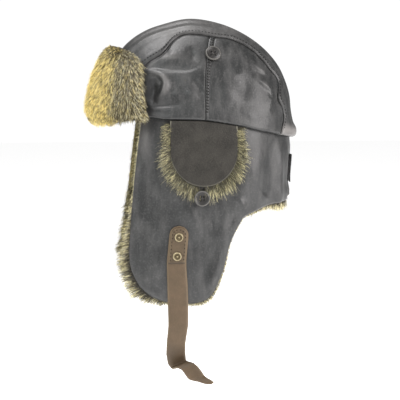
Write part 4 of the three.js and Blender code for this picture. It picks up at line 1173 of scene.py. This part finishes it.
print("button:", 2 * BUTTON_RADIUS, "mm across; stud:", 2 * STUD_RADIUS, "mm")

# %% [markdown]
# ## Materials
#
# Every pattern is measured in millimetres of the real thing: a pebble of the leather's grain is one
# and a half, a cloudy patch of its dye nearly forty. Pieces stay at the origin, so their Object
# coordinates are the hat's own. A material is a ground tone with others laid over it, as a dyer works.


# %% Material tools
def new_material(name, base, roughness, **settings):
    """A material, its node tree and its main shader."""
    made = bpy.data.materials.new(name)
    made.use_nodes = True
    shader = made.node_tree.nodes["Principled BSDF"]
    shader.inputs["Base Color"].default_value = linear(base)
    shader.inputs["Roughness"].default_value = roughness
    for key, value in settings.items():
        shader.inputs[key.replace("_", " ")].default_value = value
    return made, made.node_tree, shader


def laid_over(tree, patterns, tone, *rows):
    """Colours over a tone: each shows, up to its most, where its pattern rises from low to high."""
    for key, low, high, most, colour in rows:
        share = add_node(tree, "ShaderNodeMapRange", Value=patterns[key], From_Min=low, From_Max=high,
                         To_Max=most).outputs[0]
        tone = add_node(tree, "ShaderNodeMix", {"data_type": "RGBA"}, _0=share, _6=tone, _7=colour).outputs[2]
    return tone


def layered(name, base, roughness, textures, tones, bumps=(), gloss=None, **settings):
    """A material from rows. The first tone is the ground, and the others are laid over it.

    A texture's row: its name, kind, width in millimetres, inputs, and how it is drawn out and turned.
    A bump's row: a pattern, its depth in millimetres and its strength. The gloss is a row of a pattern,
    where it starts and ends, and the roughness there.
    """
    made, tree, shader = new_material(name, base, roughness, **settings)
    place = add_node(tree, "ShaderNodeTexCoord").outputs["Object"]
    ground, *rows = tones
    patterns = {row[0]: add_node(tree, "ShaderNodeAttribute", {"attribute_name": row[0]}).outputs["Fac"]
                for row in rows if row[0] in ("worn", "shade")}
    for key, kind, wide, inputs, *drawn in textures:
        where = place
        if drawn:
            scale, turn = drawn
            where = add_node(tree, "ShaderNodeMapping", Vector=place, Scale=scale, Rotation=turn).outputs[0]
        texture = add_node(tree, "ShaderNodeTex" + kind, Vector=where, Scale=1000 / wide, **inputs)
        patterns[key] = texture.outputs.get("Fac", texture.outputs[0])
    tree.links.new(laid_over(tree, patterns, ground, *rows), shader.inputs["Base Color"])
    under = {}
    for key, deep, strength in bumps:
        bumped = add_node(tree, "ShaderNodeBump", Height=patterns[key], Distance=deep * MM,
                          Strength=strength, **under)
        under = {"Normal": bumped.outputs[0]}
    if under:
        tree.links.new(under["Normal"], shader.inputs["Normal"])
    if gloss:
        key, low, high, least, most = gloss
        rough = add_node(tree, "ShaderNodeMapRange", Value=patterns[key], From_Min=low, From_Max=high,
                         To_Min=least, To_Max=most)
        tree.links.new(rough.outputs[0], shader.inputs["Roughness"])
    return made


# %% Leathers
# Waxed hide: its dye clouds over centimetres, it is scuffed grey in fine streaks, and it shines softly. It is
# paler where wear and painted highlights are marked, and darker where painted shade is marked
leather = layered(
    "leather_waxed", "#1b1c1c", 0.4, Specular_IOR_Level=0.5,
    textures=(("clouds", "Noise", 38, {"Detail": 4}), ("flecks", "Noise", 2.2, {"Detail": 3}),
              ("streaks", "Noise", 13, {"Detail": 5}, (1, 1.6, 0.6), (0.3, 0, 0)),
              ("pebbles", "Voronoi", 1.5, {})),
    tones=("#1b1c1c", ("clouds", 0.32, 0.68, 1, "#292a2a"), ("streaks", 0.42, 0.78, 0.36, "#585756"),
           ("flecks", 0.5, 0.75, 0.3, "#585756"), ("worn", 0, 1, 1, "#8a8785"),
           ("shade", 0, 1, 1, "#0c0b0b")),
    bumps=(("streaks", 2, 0.2), ("pebbles", 0.2, 0.22), ("flecks", 0.3, 0.5)),
    gloss=("streaks", 0.3, 0.7, 0.34, 0.48))

# Napped hide: dull and deep, with a short nap that catches light at its tips, and a pale cut edge
suede = layered(
    "leather_napped", "#383733", 0.7, Sheen_Weight=0.1, Specular_IOR_Level=0.25,
    textures=(("patches", "Noise", 14, {"Detail": 4}), ("nap", "Noise", 1.1, {"Detail": 5})),
    tones=("#1c1a17", ("patches", 0.3, 0.7, 1, "#2c2a26"), ("nap", 0.45, 0.8, 0.3, "#5c584f"),
           ("worn", 0, 1, 1, "#a09c8c")),
    bumps=(("nap", 0.4, 0.6),))


def tanned_leather(name, dark, light, fleck, edge):
    """Brown hide without a finish: blotches of a centimetre, fine flecks, paler cut edges, and painted shade
    where it is marked.
    """
    return layered(
        name, dark, 0.58,
        textures=(("blotches", "Noise", 11, {"Detail": 4}), ("flecks", "Noise", 1.6, {"Detail": 3}),
                  ("grain", "Noise", 1.2, {"Detail": 4})),
        tones=(dark, ("blotches", 0.3, 0.7, 1, light), ("flecks", 0.5, 0.75, 0.4, fleck),
               ("worn", 0, 1, 1, edge), ("shade", 0, 1, 1, "#2a2218")),
        bumps=(("grain", 0.2, 0.4),))


# The strap is the warm brown of tanned hide beside all the black; its second layer is a little darker
strap_leather = tanned_leather("leather_vegetable_tanned", "#463723", "#52412d", "#5f4e37", "#7c6b51")
patch_leather = tanned_leather("leather_tanned_oiled", "#423421", "#4f402b", "#5b4b35", "#75654c")
print("leathers:", leather.name, suede.name, strap_leather.name, patch_leather.name)


# %% Fur
def hair_material(name, root, middle, grey, tip, turns_pale):
    """Hair that is dark where it grows and pale at its tip, with its own tint."""
    made, tree, shader = new_material(name, middle, 0.5)
    own = add_node(tree, "ShaderNodeUVMap", {"uv_map": "OFBake"}).outputs[0]
    parts = add_node(tree, "ShaderNodeSeparateXYZ", Vector=own)
    patterns = {"tint": parts.outputs[0], "along": parts.outputs[1]}
    pale = laid_over(tree, patterns, root, ("tint", 0.03, 0.2, 1, middle), ("tint", 0.2, 0.5, 1, grey),
                     ("tint", 0.5, 0.9, 1, tip))
    tone = laid_over(tree, patterns, root, ("along", 0.15, 0.55, 1, middle),
                     ("along", turns_pale - 0.15, turns_pale + 0.2, 1, pale))
    tree.links.new(tone, shader.inputs["Base Color"])
    return made


# The visor's fur is bright and yellow, the flaps' is olive, and the vents' stays dark up to its last third
visor_hair = hair_material("fur_long_yellow", "#312b1d", "#766842", "#c4c1a6", "#f9e38f", 0.42)
side_hair = hair_material("fur_long_olive", "#181510", "#4c4632", "#c6c1a8", "#f6eab2", 0.52)
vent_hair = hair_material("fur_long_banded", "#14130d", "#4a4630", "#c4c1a6", "#f5ebb0", 0.68)

# The dark mat of short fur between the roots of the long hairs
pelt = layered(
    "fur_pelt_dark", "#26251f", 0.95, textures=(("under", "Noise", 1.4, {"Detail": 5}),),
    tones=("#1d1c17", ("under", 0.35, 0.7, 1, "#3a3829")), bumps=(("under", 1, 0.8),))
print("fur:", visor_hair.name, side_hair.name, vent_hair.name, pelt.name)

# %% Horn, elastic, brass and thread
# Polished horn: nearly black, with faint long streaks, a painted highlight on its rim and painted shade in
# its holes and groove
horn = layered(
    "horn_polished", "#2a2724", 0.44,
    textures=(("streaks", "Noise", 3.5, {"Detail": 3}, (1, 1, 0.3), (0, 0, 0)),
              ("dents", "Noise", 0.8, {"Detail": 3})),
    tones=("#131110", ("streaks", 0.3, 0.7, 1, "#24211e"), ("worn", 0, 1, 1, "#5d5b57"),
           ("shade", 0, 1, 1, "#060505")),
    bumps=(("dents", 0.05, 0.3),))

# Covered elastic: black yarn wound round rubber, which shows as ribs across it
elastic = layered(
    "elastic_covered_black", "#191918", 0.75,
    textures=(("ribs", "Wave", 4.4, {"settings": {"bands_direction": "Z"}, "Distortion": 0.4}),),
    tones=("#111110", ("ribs", 0, 1, 1, "#2c2b29")), bumps=(("ribs", 0.15, 0.6),))

# Aged brass: a pale yellow-grey that is duller in its patches of patina
brass = layered(
    "brass_aged", "#8f8266", 0.45, Metallic=0.5, textures=(("patina", "Noise", 1.8, {"Detail": 4}),),
    tones=("#a89c7c", ("patina", 0.35, 0.7, 1, "#7d7259")), gloss=("patina", 0.3, 0.7, 0.3, 0.55))

# Tarnish: the brown film in a stud's groove, where no finger rubs it off
tarnish = layered(
    "brass_tarnished", "#2c2820", 0.6, Metallic=0.3, textures=(("film", "Noise", 0.9, {"Detail": 3}),),
    tones=("#3f3728", ("film", 0, 1, 1, "#655839")))

# Waxed thread: black and dull, with the twist of its plies
thread = layered(
    "thread_waxed_dark", "#161615", 0.9, Specular_IOR_Level=0.1,
    textures=(("twist", "Noise", 0.5, {"Detail": 2}),),
    tones=("#0e0e0d", ("twist", 0, 1, 1, "#232221")), bumps=(("twist", 0.1, 0.5),))
print("materials:", len(bpy.data.materials))

# %% [markdown]
# ## Leather pieces
#
# Now each panel is made from its grid of places. A cut or turned edge is paler, because it is rubbed
# first, so a panel also carries how near each corner is to an edge. Panels also carry painted highlights,
# on fold crests and on parts of the strip and the flaps, and painted shade in the seams and beside the visor.


# %% Crown, skirt, visor and vents
EDGE_BAND_WIDTH = 0.9


def leather_panel(name, places, node, material=leather, slot="leather", **kind):
    """A panel of a leather with its marks, in the place of one node."""
    return finish_piece(panel(name, places, **kind), material, node)


seam_fall = lerp(SEAM_ANGLE, SEAM_LOW_ANGLE, np.linspace(0, 1, PANEL_ROWS + 1))
side_seam = np.pad(seam_fall, (0, len(HEM_TURNS) + 1), "edge")
strip_grid = strip_places(64, 180)
# Painted highlights: a pale band over the strip's rounded back end, and paler towards its top
wear_and_painted_light = 0.75 * bell(from_rim(strip_grid, (0, 0, 1, 0)) - 12, 7) + 0.12 * smooth(95, 118, strip_grid[..., 2])
leather_panel("crown_strip_panel", strip_grid, "crown_strip", worn=wear_and_painted_light, shade=seam_shade(strip_grid))

vent_edge = from_rim(vent_sheet, TURNED_EDGES)
vent_worn = 0.8 * bell(vent_edge, EDGE_BAND_WIDTH) * lerp(0.3, 1, smooth(6, 28, vent_sheet[..., 2] - VENT_END_Z))
vent_sheet = vent_sheet - out_of(vent_sheet, VENT_LEAN) * (0.8 * np.exp(-vent_edge / 1.2))[..., None]
# The side panels' fold crests are painted paler as a painted highlight; their painted shade lies in the
# seams, the lap's grooves and beside the visor
for word, mirror in SIDES:
    for which, grid in (("front", front_side), ("back", back_side)):
        leather_panel(f"crown_{which}_panel_{word}", grid * mirror, f"crown_side_{which}_{word}",
                      worn=0.26 * smooth(1.4, 4.2, fold_height(grid, crown_folds)),
                      shade=seam_shade(grid, side_seam))
    leather_panel(f"vent_flap_{word}", vent_sheet * mirror, f"vent_leather_{word}", suede, "suede",
                  worn=vent_worn)

# The skirt's turned edges are paler where they are worn, and a painted highlight lies near the top of each
# flap's front edge
wear_and_painted_light = 0.25 * bell(from_rim(skirt_grid, TURNED_EDGES) - 2.2, 1.2)
wear_and_painted_light = wear_and_painted_light + 0.25 * bell(skirt_grid[..., 1] + 72, 6) * bell(skirt_grid[..., 2] + 13, 22)
leather_panel("skirt_panel", skirt_grid, "skirt_leather", worn=wear_and_painted_light, centre=SKIRT_CENTRE)
leather_panel("visor_panel", visor_sheet, "visor_leather", centre=VISOR_CENTRE)

# %% [markdown]
# ## Growing the fur
#
# A dark pelt lies under each field of hairs, so that no leather shows between their roots. The visor's
# hairs are split over two meshes, whose roots lie at different heights, which keeps each mesh light.

# %% Pelts and hairs
DENSITY = 1.0
VISOR_HAIRS, LINING_HAIRS, FRINGE_HAIRS, VENT_HAIRS = 30000, 22000, 24000, 8000
VISOR_PELT, LINING_PELT, VENT_PELT, VENT_PELT_LIFT = 2.5, 2, 1.2, 1.6


def hair_piece(made, node, material):
    """A piece of fur in the place of one node."""
    return finish_piece(made, material, node)


hair_piece(panel("visor_pelt", visor_pelt, VISOR_PELT, centre=VISOR_CENTRE), "visor_fur", pelt)
for n, (seed, length, lift, rise) in enumerate(((21, 11, 0.5, 0.6), (31, 10, 0.88, 0.65))):
    hair_piece(visor_hairs(f"visor_hairs_{n}", int(VISOR_HAIRS * DENSITY), seed, length, lift, rise),
               "visor_fur", visor_hair)
hair_piece(panel("skirt_pelt", pelt_grid, LINING_PELT, centre=SKIRT_CENTRE), "skirt_fur", pelt)
hair_piece(lining_hairs("skirt_hairs", int(LINING_HAIRS * DENSITY), 41), "skirt_fur", side_hair)
hair_piece(edge_hairs("skirt_edge_hairs", int(FRINGE_HAIRS * DENSITY), 51), "skirt_fur", side_hair)
under_vent = vent_places(40, 30, VENT_SEAT + VENT_PELT_LIFT)
for (word, mirror), seed in zip(SIDES, (61, 71)):
    hair_piece(panel(f"vent_pelt_{word}", under_vent * mirror, VENT_PELT), f"vent_fur_{word}", pelt)
    hairs = vent_hairs(f"vent_hairs_{word}", int(VENT_HAIRS * DENSITY), seed)
    if word == "right":
        hairs.data.transform(Matrix.Diagonal((*MIRROR, 1)))
        hairs.data.flip_normals()
    hair_piece(hairs, f"vent_fur_{word}", vent_hair)

# %% [markdown]
# ## Straps, buttons and thread
#
# The small parts come last, because they sit on the leather: the strap's stitched second layer, the two
# ring studs, the buttons with the elastic loop, and the thread of the seams.

# %% Straps and studs
SIDEWAYS = np.array([1.0, 0, 0])


def strap_piece(name, places, node, thickness, material, low_edge, shade):
    """A ribbon with rounded, rubbed edges, and painted shade where shade is given. Its lower end stays square
    if low_edge is nought.
    """
    rim = from_rim(places, (0, low_edge, 1, 1))
    out = np.cross(places[1:, :-1] - places[:-1, :-1], places[:-1, 1:] - places[:-1, :-1])
    out = unit(np.pad(out, ((0, 1), (0, 1), (0, 0)), "edge"))
    out = out * np.where(places[:1, :1, :1] * out[:1, :1, :1] < 0, -1, 1)
    rounded = places - out * (0.6 * np.exp(-rim / 0.9))[..., None]
    return leather_panel(name, rounded, node, material, "strap_leather", thickness=thickness,
                         worn=0.45 * bell(rim, EDGE_BAND_WIDTH), shade=shade)


# The hanging strap takes painted shade just above its crease, and the stitched layer a painted shadow line
# along its lower end
for word, strap in (("left", left_strap), ("right", right_strap)):
    strap_piece(f"chin_strap_ribbon_{word}", strap, f"chin_strap_{word}", LEATHER, strap_leather, 1,
                0.35 * bell(strap[..., 2] + 277, 12))
for word, mirror in SIDES:
    strap_piece(f"strap_layer_{word}", patch * mirror, f"strap_patch_{word}", PATCH_THICKNESS,
                patch_leather, 0, bell(from_rim(patch, (0, 1, 0, 0)), EDGE_BAND_WIDTH))
    for which, z in (("upper", STUD_UPPER), ("lower", STUD_LOWER)):
        y = float(reader(strap_fall, "z", "y")(np.array(z)))
        x = float(strap_x([y], [z])[0]) + PATCH_THICKNESS + 2 * GAP
        place = np.array([x, y, z]) * mirror
        shape = stud_shape()
        facing(shape, place, SIDEWAYS * mirror)
        made = finish_piece(object_from(f"ring_stud_{which}_{word}", shape), brass,
                            f"strap_stud_{which}_{word}")
        made.data.materials.append(tarnish)
        for face in made.data.polygons:
            reach = (np.array(face.center) / MM - place) * [0, 1, 1]
            face.material_index = int(GROOVE_INNER < np.linalg.norm(reach) < GROOVE_OUTER)
print("studs at", STUD_UPPER, "and", STUD_LOWER, "mm")

# %% Buttons and loops
CROWN_BUTTON_ANGLE, CROWN_BUTTON_X = 93.3, 63
LOOP_RADIUS, LOOP_CORD, LOOP_SEAT = 4.4, 2.2, 1.25


def loop_path(seat):
    """The middle line of the elastic loop: down one side, half round the button's shank and up."""
    x = seat[0] + LOOP_SEAT + LOOP_CORD / 2
    turns = np.radians(np.linspace(0, 180, 13))
    low = [(x, seat[1] + LOOP_RADIUS * math.cos(t), seat[2] - LOOP_RADIUS * math.sin(t)) for t in turns]
    top = VENT_END_Z - LOOP_SEAT - GAP
    return np.array([(x, seat[1] + LOOP_RADIUS, top), *low, (x, seat[1] - LOOP_RADIUS, top)])


def round_cord(name, path):
    """A cord round a line of places, drawn as a curve and then turned into a mesh."""
    cord = bpy.data.curves.new(name, "CURVE")
    cord.dimensions, cord.bevel_depth, cord.bevel_resolution = "3D", LOOP_CORD / 2 * MM, 4
    cord.use_fill_caps = True
    line = cord.splines.new("POLY")
    line.points.add(len(path) - 1)
    line.points.foreach_set("co", np.column_stack([path * MM, np.ones(len(path))]).ravel())
    curve = put(name + "_curve", cord)
    bpy.context.view_layer.update()
    mesh = bpy.data.meshes.new_from_object(curve.evaluated_get(bpy.context.evaluated_depsgraph_get()))
    bpy.data.objects.remove(curve)
    return put(name, mesh)


crown_seat = crown_point(np.array(CROWN_BUTTON_ANGLE), np.array(CROWN_BUTTON_X))
crown_out = crown_normal(crown_seat)
crown_seat = crown_seat + crown_out * (side_relief(crown_seat) + 2 * GAP)
vent_button_seat = skirt_at(np.array([VENT_BUTTON_Y]), np.array([float(VENT_BUTTON_Z)]))[0]
vent_button_place = vent_button_seat + SIDEWAYS * (GAP + BUTTON_LIFT)
for word, mirror in SIDES:
    finish_piece(button(f"crown_button_horn_{word}", 0, crown_seat * mirror, crown_out * mirror), horn,
                 f"crown_button_{word}")
    finish_piece(button(f"vent_button_horn_{word}", BUTTON_LIFT, vent_button_place * mirror,
                        SIDEWAYS * mirror), horn, f"vent_button_{word}")
    finish_piece(round_cord(f"elastic_loop_{word}", loop_path(vent_button_seat) * mirror), elastic,
                 f"vent_loop_{word}")
print("crown button at", crown_seat.round(1), "vent button at", vent_button_seat.round(1))

# %% Nape tab
TAB_HALF_WIDTH, TAB_TOP, TAB_BOTTOM, TAB_DEPTH, TAB_CURVE = 11, -38, -72, 1.4, 0.6
TAB_CENTRE = (0, 0, -55)

tab_side, tab_z = np.linspace(-1, 1, 13)[:, None], np.linspace(TAB_TOP, TAB_BOTTOM, 17)
nape_top, nape_bottom = hem_place(np.array(0.0))[2], edge_z(np.array(0.0))
tab_y = skirt_place(0, (nape_top - tab_z) / (nape_top - nape_bottom))[:, 1] + 2 * GAP + TAB_DEPTH
tab = np.stack(np.broadcast_arrays(tab_side * TAB_HALF_WIDTH, tab_y - TAB_CURVE * tab_side ** 2, tab_z), -1)
leather_panel("nape_tab_panel", tab, "nape_tab", thickness=TAB_DEPTH, centre=TAB_CENTRE)
print("nape tab:", tab.shape)

# %% [markdown]
# ## Thread
#
# A stitch is a small bead of thread that lies along its seam. All stitches of a row are one mesh, built
# from arrays: six sides and three rings, which is round enough for a bead of about a millimetre.

# %% Stitches
BEAD = np.array([[0.0, 0.0], [0.12, 0.75], [0.5, 1.0], [0.88, 0.75], [1.0, 0.0]])
BEAD_SIDES, THREAD = 6, 1.1

# From one stitch to the next, and how long each one is
SEAM_STITCH, LAP_STITCH, PATCH_STITCH = (4.0, 2.4), (3.6, 2.1), (4.4, 1.6)
SEAM_STITCH_INSET, PATCH_STITCH_INSET, LAP_STITCH_ROWS = 3.2, 1.9, (1.2, 3.9)
SEAM_STITCH_SINK, LAP_STITCH_LIFT, PATCH_STITCH_LIFT = 0.2, 0.05, 0.1


def stitches(name, path, normals, pitch, length):
    """Beads of thread at equal steps along a path of places in millimetres."""
    run = run_along(path)
    at = np.arange(pitch / 2, run[-1], pitch)
    start, end = places_at(at - length / 2, run, path), places_at(at + length / 2, run, path)
    along, out = unit(end - start), unit(places_at(at, run, normals))
    side = unit(np.cross(along, out))
    turns = np.radians(np.arange(BEAD_SIDES) * 360 / BEAD_SIDES)
    centre = start[:, None] + (end - start)[:, None] * BEAD[None, :, :1]
    hoop = side[:, None] * np.cos(turns)[:, None] + out[:, None] * np.sin(turns)[:, None]
    bead = bmesh.new()
    for middle, spokes in zip(centre, hoop):
        caps = [bead.verts.new(middle[k] * MM) for k in (0, -1)]
        rings = [[bead.verts.new((middle[k] + spoke * BEAD[k, 1] * THREAD / 2) * MM) for spoke in spokes]
                 for k in (1, 2, 3)]
        for n in range(BEAD_SIDES):
            m = (n + 1) % BEAD_SIDES
            bead.faces.new((caps[0], rings[0][m], rings[0][n]))
            bead.faces.new((caps[1], rings[2][n], rings[2][m]))
            for low, high in zip(rings, rings[1:]):
                bead.faces.new((low[n], low[m], high[m], high[n]))
    bmesh.ops.recalc_face_normals(bead, faces=bead.faces)
    return finish_piece(object_from(name, bead), thread)


def lap_row(offset):
    """A line of places down the lap of the vertical seam, and their normals."""
    t = np.linspace(0.03, 0.975, 120)
    seam = lerp(SEAM_ANGLE, SEAM_LOW_ANGLE, t)
    top, low = np.array([SEAM_ANGLE]), np.array([SEAM_LOW_ANGLE])
    angle = seam + np.degrees(offset / SIDE_SHARE / profile_radius(seam))
    p = crown_point(angle, lerp(seam_at(top), hem_reach(low), t))
    return raised(p, side_relief(p, seam) + LAP_STITCH_LIFT), crown_normal(p)


def patch_line(rows, share):
    """A line down the stitched layer, at a share of its width."""
    return lerp(patch[rows, 0], patch[rows, -1], share)


seam_angles = np.linspace(float(front_corner) + 1, float(back_corner) - 1, 500)
seam_line = crown_point(seam_angles, seam_at(seam_angles) - SEAM_STITCH_INSET)
seam_normals = crown_normal(seam_line)
seam_line = raised(seam_line, strip_relief(seam_line) - SEAM_STITCH_SINK)
edge_share = PATCH_STITCH_INSET / (2 * (strap_fall["half"][0] - PATCH_INSET))
patch_path = np.concatenate([patch_line(slice(6, -2), edge_share)[::-1], patch_line(slice(3, 6), 0.25)[::-1],
                             patch_line(slice(3, 6), 0.75), patch_line(slice(6, -2), 1 - edge_share)])
patch_path = patch_path + SIDEWAYS * PATCH_STITCH_LIFT
for word, mirror in SIDES:
    stitches(f"seam_stitches_{word}", seam_line * mirror, seam_normals * mirror, *SEAM_STITCH)
    for n, offset in enumerate(LAP_STITCH_ROWS):
        row, normals = lap_row(offset)
        stitches(f"lap_stitches_{n}_{word}", row * mirror, normals * mirror, *LAP_STITCH)
    stitches(f"patch_stitches_{word}", patch_path * mirror, 0 * patch_path + SIDEWAYS * mirror, *PATCH_STITCH)

# %% [markdown]
# ## Count and finish
#
# The last cell counts the triangles of every piece, because hairs add up fast.

# %% Count and finish
seen_now = bpy.context.evaluated_depsgraph_get()
triangles = {}
for made in scene.objects:
    if made.type == "MESH" and made.name not in nodes and made is not floor:
        mesh = made.evaluated_get(seen_now).to_mesh()
        triangles[made.name] = sum(len(face.vertices) - 2 for face in mesh.polygons)
largest = sorted(triangles, key=triangles.get)[-4:]
print("triangles:", sum(triangles.values()), "in", len(triangles), "pieces; largest:",
      {name: triangles[name] for name in largest})
